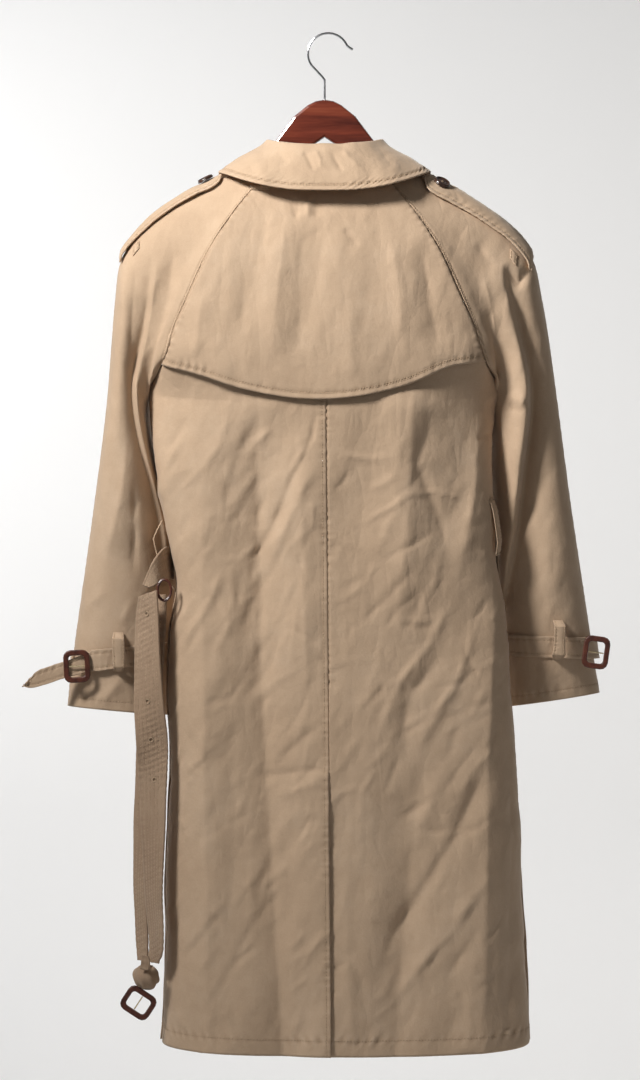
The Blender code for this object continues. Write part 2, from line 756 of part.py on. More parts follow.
def add_collar():
    places = [-1 + k / 8 for k in range(17)]
    fall, stand = [], []
    for place in places:
        side = RIGHT if place >= 0 else LEFT
        roll = collar_line(abs(place), ("roll_x", "roll_y", "roll_z"), side)
        edge = collar_line(abs(place), ("edge_x", "edge_y", "edge_z"), side)
        seam = collar_line(abs(place), ("seam_x", "seam_y", "seam_z"), side)
        out = (edge - roll).normalized()
        flat_out = Vector((out.x, out.y, 0)).normalized()
        crown = roll + Vector((0, 0, 0.0006))
        bend = roll + flat_out * 0.005 + Vector((0, 0, -0.004))
        belly = roll.lerp(edge, 0.5) + flat_out * 0.0035
        fall.append([crown, bend, belly, edge])
        under = roll + Vector((0, 0, -0.0035)) - flat_out * 0.0005
        stand.append([under, under.lerp(seam, 0.5), seam])
    sheet("collar_fall", [list(row) for row in zip(*fall)], gabardine(), 0.0018)
    sheet("collar_stand", [list(row) for row in zip(*stand)], gabardine(), 0.0018)


def add_lapels():
    """Each lapel is turned out along the roll line and lies over its front."""
    widths = Curve((0.0, 0.14, 0.30, 0.55, 0.80, 1.0), (0.030, 0.062, 0.098, 0.070, 0.032, 0.004))
    for side, name, last in ((LEFT, "lapel_left", 1.0), (RIGHT, "lapel_right", 0.36)):
        grid = []
        for k in range(9):
            down = 0.10 + (last - 0.10) * k / 8
            z = -0.185 + down * (BREAK_Z + 0.185)
            width = widths.at(down)
            row = []
            for part in range(5):
                reach = width * part / 4
                x = side * (-roll_x(z)) + side * (0.003 + reach * 0.88)
                across, level = body_at(FRONT, x, z + reach * 0.30)
                lift = 0.0048 + 0.0022 * sin(pi * part / 4)
                row.append(body_lifted(FRONT, across, level, lift))
            grid.append(row)
        sheet(name, grid, gabardine(), CLOTH, flip=(side == RIGHT))


def add_collar_loop():
    """A small loop of cloth that shows under the collar's left lower edge."""
    grid = []
    for k in range(6):
        x = -0.094 + 0.026 * k / 5
        across, level = body_at(BACK, x, -0.1975)
        middle = body_lifted(BACK, across, level, 0.0034)
        grid.append([middle + Vector((0, 0, 0.003)), middle + Vector((0, 0, -0.003))])
    sheet("collar_loop", grid, gabardine(), CLOTH, flip=True)


# ---- Shoulders ----
def arc_v(side, u, start, distance):
    """The place around the sleeve at a distance from another one, measured on the cloth."""
    v, sign = start, (1 if distance > 0 else -1)
    gone, here = 0.0, sleeve_point(side, u, start)
    while gone < abs(distance):
        v += sign * 0.002
        after = sleeve_point(side, u, v)
        gone += (after - here).length
        here = after
    return v


def add_epaulette(side, name):
    """A strap along the shoulder. The right one has slipped towards the back."""
    slip = EPAULETTE_SLIP[side]
    stops = [(1.42, 0.12), (1.55, 0.66), (1.80, 1.0), (2.2, 1.0), (2.8, 1.0), (3.4, 1.0), (4.1, 1.0), (4.9, 1.0)]
    grid = []
    for u, share in stops:
        middle = arc_v(side, u, 1.0, slip)
        row = []
        for k in range(7):
            reach = (k / 6 - 0.5) * EPAULETTE_WIDTH * share
            lift = EPAULETTE_LIFT + EPAULETTE_CROWN * (1 - (2 * k / 6 - 1) ** 2)
            v = arc_v(side, u, middle, reach) if reach else middle
            row.append(sleeve_lifted(side, u, v, lift))
        grid.append(row)
    sheet(name, grid, gabardine(), STRAP_CLOTH, flip=(side == LEFT))
    v = arc_v(side, BUTTON_U, 1.0, slip)
    lift = EPAULETTE_LIFT + EPAULETTE_CROWN + STRAP_CLOTH + 0.0008
    base = sleeve_lifted(side, BUTTON_U, v, lift)
    normal = (base - sleeve_lifted(side, BUTTON_U, v, 0.0)).normalized()
    add_button("epaulette_button_" + name.split("_")[-1], base, normal)


def add_epaulette_loop(side, name):
    """The sewn loop that the strap's outer end lies over; its end shows below the strap."""
    slip = EPAULETTE_SLIP[side]
    grid = []
    for u in (4.0, 4.25):
        middle = arc_v(side, u, 1.0, slip)
        row = []
        for k in range(5):
            v = arc_v(side, u, middle, -0.0275 - 0.014 * k / 4)
            row.append(sleeve_lifted(side, u, v, 0.0005))
        grid.append(row)
    sheet(name, grid, gabardine(), CLOTH, flip=(side == RIGHT))


def add_button(name, position, normal):
    r = BUTTON_RADIUS
    profile = [(0, 0.0022), (0.62 * r, 0.0022), (0.80 * r, 0.0034), (0.94 * r, 0.0032), (r, 0.0020)]
    profile += [(0.90 * r, 0.0003), (0, 0)]
    turned(name, profile, 18, horn(), facing(position, normal, (0, 0, 1)))


def add_front_buttons():
    for column_index, x in enumerate((-0.070, 0.070)):
        for row_index, z in enumerate((-0.475, -0.600, -0.760)):
            across, level = body_at(FRONT, x, z)
            base = body_lifted(FRONT, across, level, 0.0040)
            name = f"front_button_{row_index + 1}{'ab'[column_index]}"
            add_button(name, base, (base - body_lifted(FRONT, across, level, 0.0)).normalized())


# ---- Cuffs ----
Cuff = namedtuple("Cuff", "start end strap_z_inner strap_z_outer buckle_x buckle_z buckle_tilt loop_x loop_z")
CUFFS = {
    LEFT: Cuff(0.90, 2.70, -0.772, -0.7850, -0.3090, -0.7895, 3.0, -0.2575, -0.7715),
    RIGHT: Cuff(1.00, 3.20, -0.7635, -0.7680, 0.3385, -0.7722, -8.0, 0.2915, -0.7565),
}


def strap_row(side, cuff, place, lift):
    v = place % 2
    part = (1 - cos(pi * min(v, 2 - v))) / 2
    z = cuff.strap_z_inner + part * (cuff.strap_z_outer - cuff.strap_z_inner)
    row = []
    for half in (1, -1):
        u = sleeve_u_at(side, v, z + half * CUFF_STRAP_WIDTH / 2)
        row.append(sleeve_lifted(side, u, v, lift))
    return row


def add_cuff_strap(side, name):
    cuff = CUFFS[side]
    steps = int(round((cuff.end - cuff.start) / 0.1))
    grid = []
    for k in range(steps + 1):
        place = cuff.start + (cuff.end - cuff.start) * k / steps
        over = step_between(cuff.start + 1.55, cuff.start + 1.75, place)
        grid.append(strap_row(side, cuff, place, LAYER_GAP + 0.0048 * over))
    if side == LEFT:
        ahead = (grid[-1][0] + grid[-1][1]) / 2
        for x, z, half in ((-0.322, -0.793, 0.0115), (-0.346, -0.801, 0.0115), (-0.366, -0.808, 0.0085)):
            top = Vector((x + 0.003, ahead.y - 0.001, z + half))
            grid.append([top, Vector((x - 0.003, ahead.y - 0.001, z - half))])
        grid.append([Vector((-0.3735, ahead.y, -0.8115)), Vector((-0.3745, ahead.y, -0.8145))])
    sheet(name, grid, gabardine(), STRAP_CLOTH, flip=(side == RIGHT))


def beyond_x(side, z, x, v):
    """How far a place around the sleeve, at one height, is outside an x."""
    return abs(sleeve_point(side, sleeve_u_at(side, v, z), v).x) - x


def add_cuff_loop(side, name):
    cuff = CUFFS[side]
    grid = []
    for k in range(7):
        z = cuff.loop_z + 0.0245 - 0.049 * k / 6
        lift = 0.0012 + (0.0136 if 1 <= k <= 5 else 0.0)
        row = []
        for half in (-1, 1):
            x = abs(cuff.loop_x) + side * half * 0.006
            v = solve(partial(beyond_x, side, z, x), 0.1, 0.95)
            row.append(sleeve_lifted(side, sleeve_u_at(side, v, z), v, lift))
        grid.append(row)
    sheet(name, grid, gabardine(), CLOTH)


def add_cuff_buckle(side, suffix):
    cuff = CUFFS[side]
    v = solve(partial(beyond_x, side, cuff.buckle_z, 0.300), 0.1, 0.99)
    y = sleeve_point(side, sleeve_u_at(side, v, cuff.buckle_z), v).y - CUFF_BUCKLE_LIFT
    place = facing(Vector((cuff.buckle_x, y, cuff.buckle_z)), (0, -1, 0), (0, 0, 1))
    place = place @ Matrix.Rotation(radians(cuff.buckle_tilt), 4, "Z")
    frame = [rounded_rectangle(0.033, 0.041, 0.009), rounded_rectangle(BUCKLE_WINDOW, 0.027, 0.004)]
    outline("cuff_buckle_" + suffix, frame, 0.0023, 0.0015, leather(), place)
    add_prong("cuff_prong_" + suffix, place)


def add_prong(name, place):
    """A pin across a buckle's window, just short of the frame at both ends."""
    reach = BUCKLE_WINDOW / 2 - 0.0006
    points = [place @ Vector((along * reach, 0, 0.0004)) for along in (-1, 0, 1)]
    wire(name, points, PRONG_RADIUS, brass(), 1)


# ---- Belt ----
BeltRow = namedtuple("BeltRow", "left_x left_y left_z right_x right_y right_z")
BELT_PASS = [
    BeltRow(-0.1940, 0.0080, -0.642, -0.1910, 0.0080, -0.681),
    BeltRow(-0.1960, 0.0000, -0.641, -0.1915, 0.0000, -0.680),
    BeltRow(-0.1990, -0.0140, -0.641, -0.1945, -0.0140, -0.680),
    BeltRow(-0.2040, -0.0330, -0.645, -0.1985, -0.0340, -0.682),
    BeltRow(-0.2140, -0.0500, -0.660, -0.2070, -0.0530, -0.686),
    BeltRow(-0.2250, -0.0560, -0.688, -0.2170, -0.0600, -0.692),
]
BELT_NEAR = [
    BeltRow(-0.2290, -0.0440, -0.7020, -0.2070, -0.0640, -0.6940),
    BeltRow(-0.2330, -0.0400, -0.7310, -0.2050, -0.0650, -0.7310),
    BeltRow(-0.2340, -0.0420, -0.7690, -0.2037, -0.0660, -0.7690),
    BeltRow(-0.2355, -0.0490, -0.8330, -0.1994, -0.0640, -0.8330),
    BeltRow(-0.2334, -0.0550, -0.8820, -0.1945, -0.0570, -0.8820),
    BeltRow(-0.2300, -0.0450, -0.9250, -0.1950, -0.0620, -0.9250),
    BeltRow(-0.2245, -0.0360, -1.0110, -0.1980, -0.0640, -1.0110),
    BeltRow(-0.2210, -0.0330, -1.0710, -0.2000, -0.0660, -1.0710),
    BeltRow(-0.2160, -0.0330, -1.1340, -0.1990, -0.0680, -1.1340),
    BeltRow(-0.2190, -0.0340, -1.1560, -0.2050, -0.0600, -1.1560),
]
BELT_FAR = [
    BeltRow(-0.2230, -0.0160, -0.7000, -0.1960, -0.0300, -0.7000),
    BeltRow(-0.2260, -0.0180, -0.7450, -0.1980, -0.0340, -0.7450),
    BeltRow(-0.2310, -0.0180, -0.8330, -0.2030, -0.0380, -0.8330),
    BeltRow(-0.2345, -0.0110, -0.9250, -0.2080, -0.0350, -0.9250),
    BeltRow(-0.2366, -0.0070, -0.9900, -0.2110, -0.0300, -0.9900),
    BeltRow(-0.2366, -0.0060, -1.0550, -0.2210, -0.0260, -1.0550),
    BeltRow(-0.2345, -0.0060, -1.1186, -0.2195, -0.0240, -1.1186),
    BeltRow(-0.2320, -0.0120, -1.1560, -0.2200, -0.0260, -1.1560),
]


def belt_strip(name, table, count):
    grid = []
    lines = [Curve(range(len(table)), values) for values in zip(*table)]
    for k in range(count + 1):
        values = [line.at(k * (len(table) - 1) / count) for line in lines]
        left, right = Vector(values[:3]), Vector(values[3:])
        grid.append([left, (left + right) / 2, right])
    sheet(name, grid, gabardine(), BELT_CLOTH)


def add_belt():
    belt_strip("belt_pass", BELT_PASS, 10)
    belt_strip("belt_strand_near", BELT_NEAR, 16)
    belt_strip("belt_strand_far", BELT_FAR, 14)
    bpy.ops.mesh.primitive_uv_sphere_add(segments=14, ring_count=9, radius=1.0)
    knot = bpy.context.object
    data = knot.data
    bpy.data.objects.remove(knot)
    data.transform(Matrix.Diagonal((0.0165, 0.0200, 0.0150, 1.0)))
    made = add_object("belt_knot", data, gabardine())
    made.location = (-0.2215, -0.0440, -1.1740)
    made.rotation_euler = (0.0, radians(30), 0.0)
    place = facing(Vector((-0.2310, -0.0470, -1.2060)), (0, -1, 0), (0.55, 0, 0.84))
    frame = [rounded_rectangle(0.040, 0.034, 0.009), rounded_rectangle(0.027, BUCKLE_WINDOW, 0.004)]
    outline("belt_buckle", frame, 0.0026, 0.0016, leather(), place)
    add_prong("belt_prong", place @ Matrix.Rotation(radians(90), 4, "Z"))
    tip = [BeltRow(-0.2275, -0.0640, -1.1620, -0.2180, -0.0660, -1.1640),
           BeltRow(-0.2265, -0.0655, -1.1520, -0.2160, -0.0670, -1.1540),
           BeltRow(-0.2245, -0.0660, -1.1455, -0.2180, -0.0670, -1.1465)]
    belt_strip("belt_end", tip, 3)
    ring = [Vector((-0.1985 + 0.0085 * cos(a), -0.0570, -0.6940 + 0.0130 * sin(a)))
            for a in [2 * pi * k / 16 for k in range(17)]]
    wire("belt_ring", ring[:-1], 0.0019, leather(), 1).data.splines[0].use_cyclic_u = True


def add_belt_loop(side, name):
    """A vertical strip at the side seam that stands off the coat between its two sewn ends."""
    tops = {LEFT: (-0.0150, -0.606), RIGHT: (-0.0340, -0.577)}[side]
    stand = {LEFT: 0.0150, RIGHT: 0.0035}[side]
    grid = []
    for k in range(9):
        down = k / 8
        z = tops[1] - down * (0.090 if side == LEFT else 0.071)
        level = 1 + (z - UNDERARM_Z) / (SIDE_HEM_Z - UNDERARM_Z)
        row = []
        for half in (-1, 1):
            y = tops[0] + half * 0.0055
            across = solve(lambda a: body_point(BACK, side * a, level).y - y, 0.4, 0.999)
            row.append(body_lifted(BACK, side * across, level, 0.0018 + stand * min(1.5 * sin(pi * down), 1.0)))
        grid.append(row)
    sheet(name, grid, gabardine(), CLOTH, flip=(side == RIGHT))


# ---- Hanger ----
def add_hanger():
    top = [(row.x, row.top) for row in YOKE]
    bottom = [(row.x, row.bottom) for row in YOKE]
    right = top + [(0.2120, -0.2420)] + bottom[::-1]
    left = [(-x, z) for x, z in right[::-1] if x > 0]
    place = Matrix.Rotation(radians(90), 4, "X")
    outline("hanger_yoke", [right + left], YOKE_HALF_DEPTH, YOKE_EDGE, mahogany(), place)
    points = [Vector((0, 0, STEM_FOOT_Z)), Vector((0, 0, (STEM_FOOT_Z + STEM_TOP_Z) / 2))]
    points += [Vector((0, 0, STEM_TOP_Z)), Vector((-0.0030, 0, -0.0530))]
    for k in range(19):
        angle = radians(214 - (214 - 24) * k / 18)
        points.append(LOOP_CENTRE + Vector((LOOP_RADIUS * cos(angle), 0, LOOP_RADIUS * sin(angle))))
    points += [Vector((0.0310, 0, -0.0165)), Vector((0.0352, 0, -0.0190))]
    wire("hanger_hook", points, HOOK_WIRE, steel())


clear_scene()
coat = bpy.data.collections.new("Trench coat")
bpy.context.scene.collection.children.link(coat)
hang_point = bpy.data.objects.new("hang_point", None)
hang_point.location = (-HOOK_SHIFT, 0, 0)
coat.objects.link(hang_point)

add_body_and_sleeves()
add_shield()
add_collar()
add_lapels()
add_collar_loop()
for side_sign, side_name in ((LEFT, "left"), (RIGHT, "right")):
    add_epaulette(side_sign, "epaulette_" + side_name)
    add_epaulette_loop(side_sign, "epaulette_loop_" + side_name)
    add_cuff_strap(side_sign, "cuff_strap_" + side_name)
    add_cuff_loop(side_sign, "cuff_loop_" + side_name)
    add_cuff_buckle(side_sign, side_name)
    add_belt_loop(side_sign, "belt_loop_" + side_name)
add_front_buttons()
add_belt()
add_hanger()
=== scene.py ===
from math import cos, pi, radians, sin

import bpy
import numpy as np
from mathutils import Matrix, Vector


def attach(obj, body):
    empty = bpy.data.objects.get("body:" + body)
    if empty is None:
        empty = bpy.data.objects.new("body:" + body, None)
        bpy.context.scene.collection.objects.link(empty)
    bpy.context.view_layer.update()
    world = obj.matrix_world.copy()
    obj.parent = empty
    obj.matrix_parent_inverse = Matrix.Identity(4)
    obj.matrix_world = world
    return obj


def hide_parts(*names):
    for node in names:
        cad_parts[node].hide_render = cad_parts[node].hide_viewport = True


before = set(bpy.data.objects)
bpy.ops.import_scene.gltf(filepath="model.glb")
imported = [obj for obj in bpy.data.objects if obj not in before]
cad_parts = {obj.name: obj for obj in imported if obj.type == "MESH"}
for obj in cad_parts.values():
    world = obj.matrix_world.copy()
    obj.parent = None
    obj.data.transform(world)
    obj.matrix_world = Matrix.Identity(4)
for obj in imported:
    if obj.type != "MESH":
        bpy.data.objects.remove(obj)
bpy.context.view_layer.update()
print("frame:", len(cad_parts), "nodes")

back, front = -1, 1
left, right = -1, 1
hookShift = 0.0045  # the coat's middle line is this far to the right of the hook's loop


# curves and small sums, all on arrays
def smooth(low, high, value):
    part = np.clip((value - low) / (high - low), 0.0, 1.0)
    return part * part * (3 - 2 * part)


def unit(vectors):
    return vectors / np.maximum(np.linalg.norm(vectors, axis=-1, keepdims=True), 1e-12)


def bell(distance, width):
    return np.exp(-((distance / width) ** 2))


def throughValues(knots, values, at):
    # a smooth curve through values at its knots
    order = np.argsort(knots)
    knots = np.asarray(knots, float)[order]
    values = np.asarray(values, float)[order]
    slopes = np.gradient(values, knots, axis=0)
    at = np.clip(at, knots[0], knots[-1])
    index = np.clip(np.searchsorted(knots, at) - 1, 0, len(knots) - 2)
    step = knots[index + 1] - knots[index]
    part = (at - knots[index]) / step
    if values.ndim > 1:
        step, part = step[..., None], part[..., None]
    square, cube = part * part, part**3
    value = (2 * cube - 3 * square + 1) * values[index] + (3 * square - 2 * cube) * values[index + 1]
    turn = (cube - 2 * square + part) * slopes[index] + (cube - square) * slopes[index + 1]
    return value + step * turn


def fromTable(table, key, name, at):
    return throughValues(table[key], table[name], at)


def solveFor(function, low, high):
    # where each function, steady between low and high, crosses zero
    rising = function(high) > function(low)
    for _ in range(17):
        middle = (low + high) / 2
        below = (function(middle) < 0) == rising
        low, high = np.where(below, middle, low), np.where(below, high, middle)
    return (low + high) / 2


def cornerValue(column, row, seed):
    mixed = (column * 374761393 + row * 668265263 + seed * 974711) & 0xFFFFFFFF
    mixed = ((mixed ^ (mixed >> 13)) * 1274126177) & 0xFFFFFFFF
    return ((mixed ^ (mixed >> 16)) & 0xFFFF) / 32767.5 - 1


def softNoise(x, y, seed):
    # smooth random values from -1 to 1, one new value per unit
    x, y = np.broadcast_arrays(np.asarray(x, float), np.asarray(y, float))
    column, row = np.floor(x).astype(np.int64), np.floor(y).astype(np.int64)
    fx, fy = x - column, y - row
    fx = fx * fx * fx * (fx * (fx * 6 - 15) + 10)
    fy = fy * fy * fy * (fy * (fy * 6 - 15) + 10)
    upper = cornerValue(column, row, seed) * (1 - fx) + cornerValue(column + 1, row, seed) * fx
    lower = cornerValue(column, row + 1, seed) * (1 - fx) + cornerValue(column + 1, row + 1, seed) * fx
    return upper * (1 - fy) + lower * fy


def slantNoise(x, z, size, stretch, angle, seed):
    # noise drawn out along a slant, as rumples in hung cotton are
    c, s = cos(radians(angle)), sin(radians(angle))
    return softNoise((x * c + z * s) / (size * stretch), (-x * s + z * c) / size, seed)


def crease(line, width, height, lean=0.0, fade=(0.3, 0.3)):
    return {"line": line, "width": width, "height": height, "lean": lean, "fade": fade}


def creaseRelief(x, z, creases):
    # height of ridges (plus) and troughs (minus) laid along lines; lean makes the far side steeper
    height = np.zeros_like(x)
    for fold in creases:
        line = np.array(fold["line"], float)
        lengths = np.linalg.norm(np.diff(line, axis=0), axis=1)
        total, gone = lengths.sum(), 0.0
        nearest = np.full_like(x, 1e9)
        signed, along = np.zeros_like(x), np.zeros_like(x)
        for k, length in enumerate(lengths):
            a, b = line[k], line[k + 1]
            d = (b - a) / length
            t = np.clip((x - a[0]) * d[0] + (z - a[1]) * d[1], 0, length)
            dx, dz = x - a[0] - t * d[0], z - a[1] - t * d[1]
            distance = np.hypot(dx, dz)
            closer = distance < nearest
            side = np.sign(dx * d[1] - dz * d[0])
            nearest = np.where(closer, distance, nearest)
            signed = np.where(closer, side * distance, signed)
            along = np.where(closer, (gone + t) / total, along)
            gone += length
        width = fold["width"] * np.where(signed > 0, 1 - fold["lean"], 1 + fold["lean"])
        # narrow creases vary along their length; broad folds don't
        phase = 900 * (line[0][0] + line[0][1])
        wobble = np.sin(along * total / 0.011 + phase) + 0.8 * np.sin(along * total / 0.0067 + 2.1 * phase)
        wobble = 1 + 0.2 * max(0.0, min(1.0, (0.016 - fold["width"]) / 0.01)) * wobble
        ends = smooth(0, max(fold["fade"][0], 1e-3), along) * smooth(0, max(fold["fade"][1], 1e-3), 1 - along)
        crisp = 0.45 * bell(signed, width) + 0.55 * np.exp(-np.abs(signed) / (0.62 * width))
        height += fold["height"] * crisp * ends * wobble
    return height


# the coat's form: the same tables and sums as the frame's solids
coatForm = {
    "underarmZ": -0.4475,
    "sideHemZ": -1.256,
    "centreHemZ": -1.269,
    "ventTopZ": -0.916,
    "ventLap": 0.036,
    "breakZ": -0.42,
    "lapX": 0.085,
    "neckV": 0.8,
    "underarmClear": 0.011,
    "clearRings": 9,
    "seamReach": 4,
}
raglan = {
    "level": (0.0, 0.12, 0.27, 0.43, 0.62, 0.75, 0.9, 1.0),
    "x": (0.064, 0.09, 0.116, 0.143, 0.169, 0.186, 0.2005, 0.2215),
    "yBack": (-0.036, -0.052, -0.064, -0.072, -0.075, -0.07, -0.054, 0.0),
    "yFront": (0.036, 0.05, 0.058, 0.062, 0.063, 0.058, 0.04, 0.0),
    "z": (-0.168, -0.1965, -0.2295, -0.272, -0.3285, -0.3675, -0.412, -0.4475),
}
neckSide = np.array((0.084, 0.0, -0.158))
middles = {
    "level": (0.0, 0.27, 0.62, 1.0),
    "back": (0.046, 0.076, 0.087, 0.086),
    "front": (0.05, 0.066, 0.074, 0.076),
    "zBack": (-0.178, -0.246, -0.342, -0.462),
    "zFront": (-0.205, -0.25, -0.342, -0.462),
}
girths = {
    "z": (-0.4475, -0.464, -0.482, -0.512, -0.565, -0.632, -0.685, -0.745, -0.83, -0.905, -1.015, -1.145, -1.256),
    "left": (-0.2215, -0.22, -0.2185, -0.2155, -0.2065, -0.1955, -0.1835, -0.192, -0.1965, -0.1915, -0.197,
             -0.1985, -0.2035),
    "right": (0.2215, 0.213, 0.2105, 0.2065, 0.2075, 0.2155, 0.219, 0.225, 0.232, 0.24, 0.244, 0.251, 0.257),
    "ySide": (0.0, -0.004, -0.006, -0.008, -0.01, -0.012, -0.012, -0.012, -0.01, -0.006, 0.0, 0.0, 0.0),
    "back": (0.086, 0.085, 0.084, 0.083, 0.081, 0.08, 0.08, 0.081, 0.083, 0.085, 0.088, 0.092, 0.096),
    "front": (0.076, 0.075, 0.074, 0.073, 0.07, 0.068, 0.068, 0.07, 0.072, 0.075, 0.08, 0.085, 0.088),
}
# one row per ring: outer x, y, z, inner x, y, z, depth to the back, depth to the front
rings = {
    left: (
        (0.112, 0.0, -0.1725, 0.225, 0.008, -0.455, 0.07, 0.06),
        (0.15, 0.0, -0.1905, 0.22, 0.02, -0.464, 0.072, 0.056),
        (0.193, 0.0, -0.215, 0.217, 0.031, -0.474, 0.073, 0.05),
        (0.231, 0.0, -0.248, 0.214, 0.04, -0.486, 0.074, 0.045),
        (0.2545, 0.0, -0.284, 0.211, 0.046, -0.5, 0.074, 0.041),
        (0.262, 0.002, -0.335, 0.207, 0.049, -0.52, 0.074, 0.039),
        (0.267, 0.004, -0.395, 0.202, 0.051, -0.548, 0.074, 0.037),
        (0.273, 0.008, -0.465, 0.193, 0.053, -0.59, 0.072, 0.036),
        (0.285, 0.016, -0.56, 0.184, 0.056, -0.655, 0.066, 0.034),
        (0.3, 0.028, -0.665, 0.184, 0.057, -0.735, 0.06, 0.034),
        (0.3175, 0.038, -0.787, 0.192, 0.056, -0.812, 0.055, 0.036),
        (0.3235, 0.042, -0.84, 0.1955, 0.055, -0.852, 0.054, 0.036),
    ),
    right: (
        (0.112, 0.0, -0.1725, 0.2238, 0.008, -0.455, 0.07, 0.06),
        (0.15, 0.0, -0.1905, 0.2175, 0.02, -0.464, 0.072, 0.056),
        (0.193, 0.0, -0.215, 0.208, 0.034, -0.474, 0.073, 0.048),
        (0.233, 0.0, -0.247, 0.202, 0.043, -0.486, 0.074, 0.043),
        (0.26, 0.0, -0.282, 0.1985, 0.048, -0.5, 0.074, 0.04),
        (0.2715, 0.002, -0.33, 0.2, 0.05, -0.52, 0.074, 0.039),
        (0.2815, 0.005, -0.388, 0.2, 0.053, -0.548, 0.074, 0.038),
        (0.2935, 0.012, -0.474, 0.203, 0.056, -0.59, 0.072, 0.037),
        (0.308, 0.026, -0.58, 0.209, 0.059, -0.65, 0.066, 0.038),
        (0.326, 0.042, -0.695, 0.219, 0.062, -0.735, 0.058, 0.038),
        (0.341, 0.054, -0.79, 0.2275, 0.065, -0.81, 0.053, 0.038),
        (0.347, 0.058, -0.824, 0.2285, 0.066, -0.842, 0.052, 0.038),
    ),
}
lastRing = 12


def raglanPoint(face, side, level):
    x = side * fromTable(raglan, "level", "x", level)
    y = fromTable(raglan, "level", "yBack" if face == back else "yFront", level)
    return np.stack([x, y, fromTable(raglan, "level", "z", level)], -1)


def sideEdge(face, side, level):
    upper = raglanPoint(face, side, np.minimum(level, 1.0))
    z = coatForm["underarmZ"] + (level - 1) * (coatForm["sideHemZ"] - coatForm["underarmZ"])
    x = fromTable(girths, "z", "left" if side == left else "right", z)
    lower = np.stack([x, fromTable(girths, "z", "ySide", z), z], -1)
    return np.where((level <= 1)[..., None], upper, lower)


def middleOf(face, level):
    name = "back" if face == back else "front"
    high = np.minimum(level, 1.0)
    sideZ = coatForm["underarmZ"] + (level - 1) * (coatForm["sideHemZ"] - coatForm["underarmZ"])
    end = middles["zBack"][-1]
    zLow = end + (level - 1) * (coatForm["centreHemZ"] - end)
    z = np.where(level <= 1, fromTable(middles, "level", "z" + name.capitalize(), high), zLow)
    out = np.where(level <= 1, fromTable(middles, "level", name, high), fromTable(girths, "z", name, sideZ))
    return face * out, z


def bodyPoint(face, across, level):
    across, level = np.broadcast_arrays(np.asarray(across, float), np.asarray(level, float))
    a, b = sideEdge(face, left, level), sideEdge(face, right, level)
    middleY, middleZ = middleOf(face, level)
    tube = smooth(0.5, 1.12, level)
    run = (1 - tube) * across + tube * np.sin(across * pi / 2)
    squareness = 0.9 - 0.28 * smooth(1.0, 1.16, level)
    round_ = np.maximum(np.cos(across * pi / 2), 0.0) ** squareness
    swell = (1 - tube) * (1 - np.abs(across) ** 2.2) + tube * round_
    point = a + (b - a) * ((run + 1) / 2)[..., None]
    point[..., 1] += swell * (middleY - (a[..., 1] + b[..., 1]) / 2)
    point[..., 2] += (1 - across * across) * (middleZ - (a[..., 2] + b[..., 2]) / 2)
    return point


def acrossAt(face, level, x):
    level, x = np.broadcast_arrays(np.asarray(level, float), np.asarray(x, float))
    low, high = np.full(level.shape, -1.0), np.full(level.shape, 1.0)
    return solveFor(lambda across: bodyPoint(face, across, level)[..., 0] - x, low, high)


def bodyAt(face, x, z):
    # the across and level of the body's point at this x and z
    x, z = np.broadcast_arrays(np.asarray(x, float), np.asarray(z, float))
    level = np.ones(x.shape)
    for _ in range(7):
        across = acrossAt(face, level, x)
        here = bodyPoint(face, across, level)[..., 2]
        slope = (bodyPoint(face, across, level + 0.01)[..., 2] - here) / 0.01
        level = np.clip(level + (z - here) / slope, 0.0, 2.0)
    return across, level


def bodyOutward(face, across):
    return np.stack([across * 0.3, np.full(across.shape, float(face)), across * 0], -1)


def bodyNormal(face, across, level):
    small = 0.004
    across, level = np.clip(across, -0.995, 0.995), np.clip(level, 0.005, 1.995)
    along = bodyPoint(face, across + small, level) - bodyPoint(face, across - small, level)
    down = bodyPoint(face, across, level + small) - bodyPoint(face, across, level - small)
    normal = unit(np.cross(along, down))
    return normal * np.sign((normal * bodyOutward(face, across)).sum(-1, keepdims=True))


def bodyLifted(face, across, level, lift):
    across, level = np.broadcast_arrays(np.asarray(across, float), np.asarray(level, float))
    lift = np.asarray(lift, float) * np.ones(across.shape)
    return bodyPoint(face, across, level) + bodyNormal(face, across, level) * lift[..., None]


def seamLevel(v):
    part = np.minimum(v / coatForm["neckV"], 1.0)
    return 1 - (0.5 * part + 0.25 * (1 - np.cos(pi * part)))


def seamRing(side, v):
    # the sleeve's top edge: the raglan seam on both faces, with the neck's side between them
    turn = np.where(v <= 1, v, 2 - v)
    level = seamLevel(np.minimum(turn, coatForm["neckV"]))
    raglanLine = np.where((v <= 1)[..., None], raglanPoint(back, side, level), raglanPoint(front, side, level))
    part = np.clip((turn - coatForm["neckV"]) / (1 - coatForm["neckV"]), 0, 1)[..., None]
    arch = 0.004 * np.sin(pi * part) * np.array([side, 0.0, 1.0])
    top = neckSide * np.array([side, 1.0, 1.0])
    return raglanLine * (1 - part) + top * part + arch


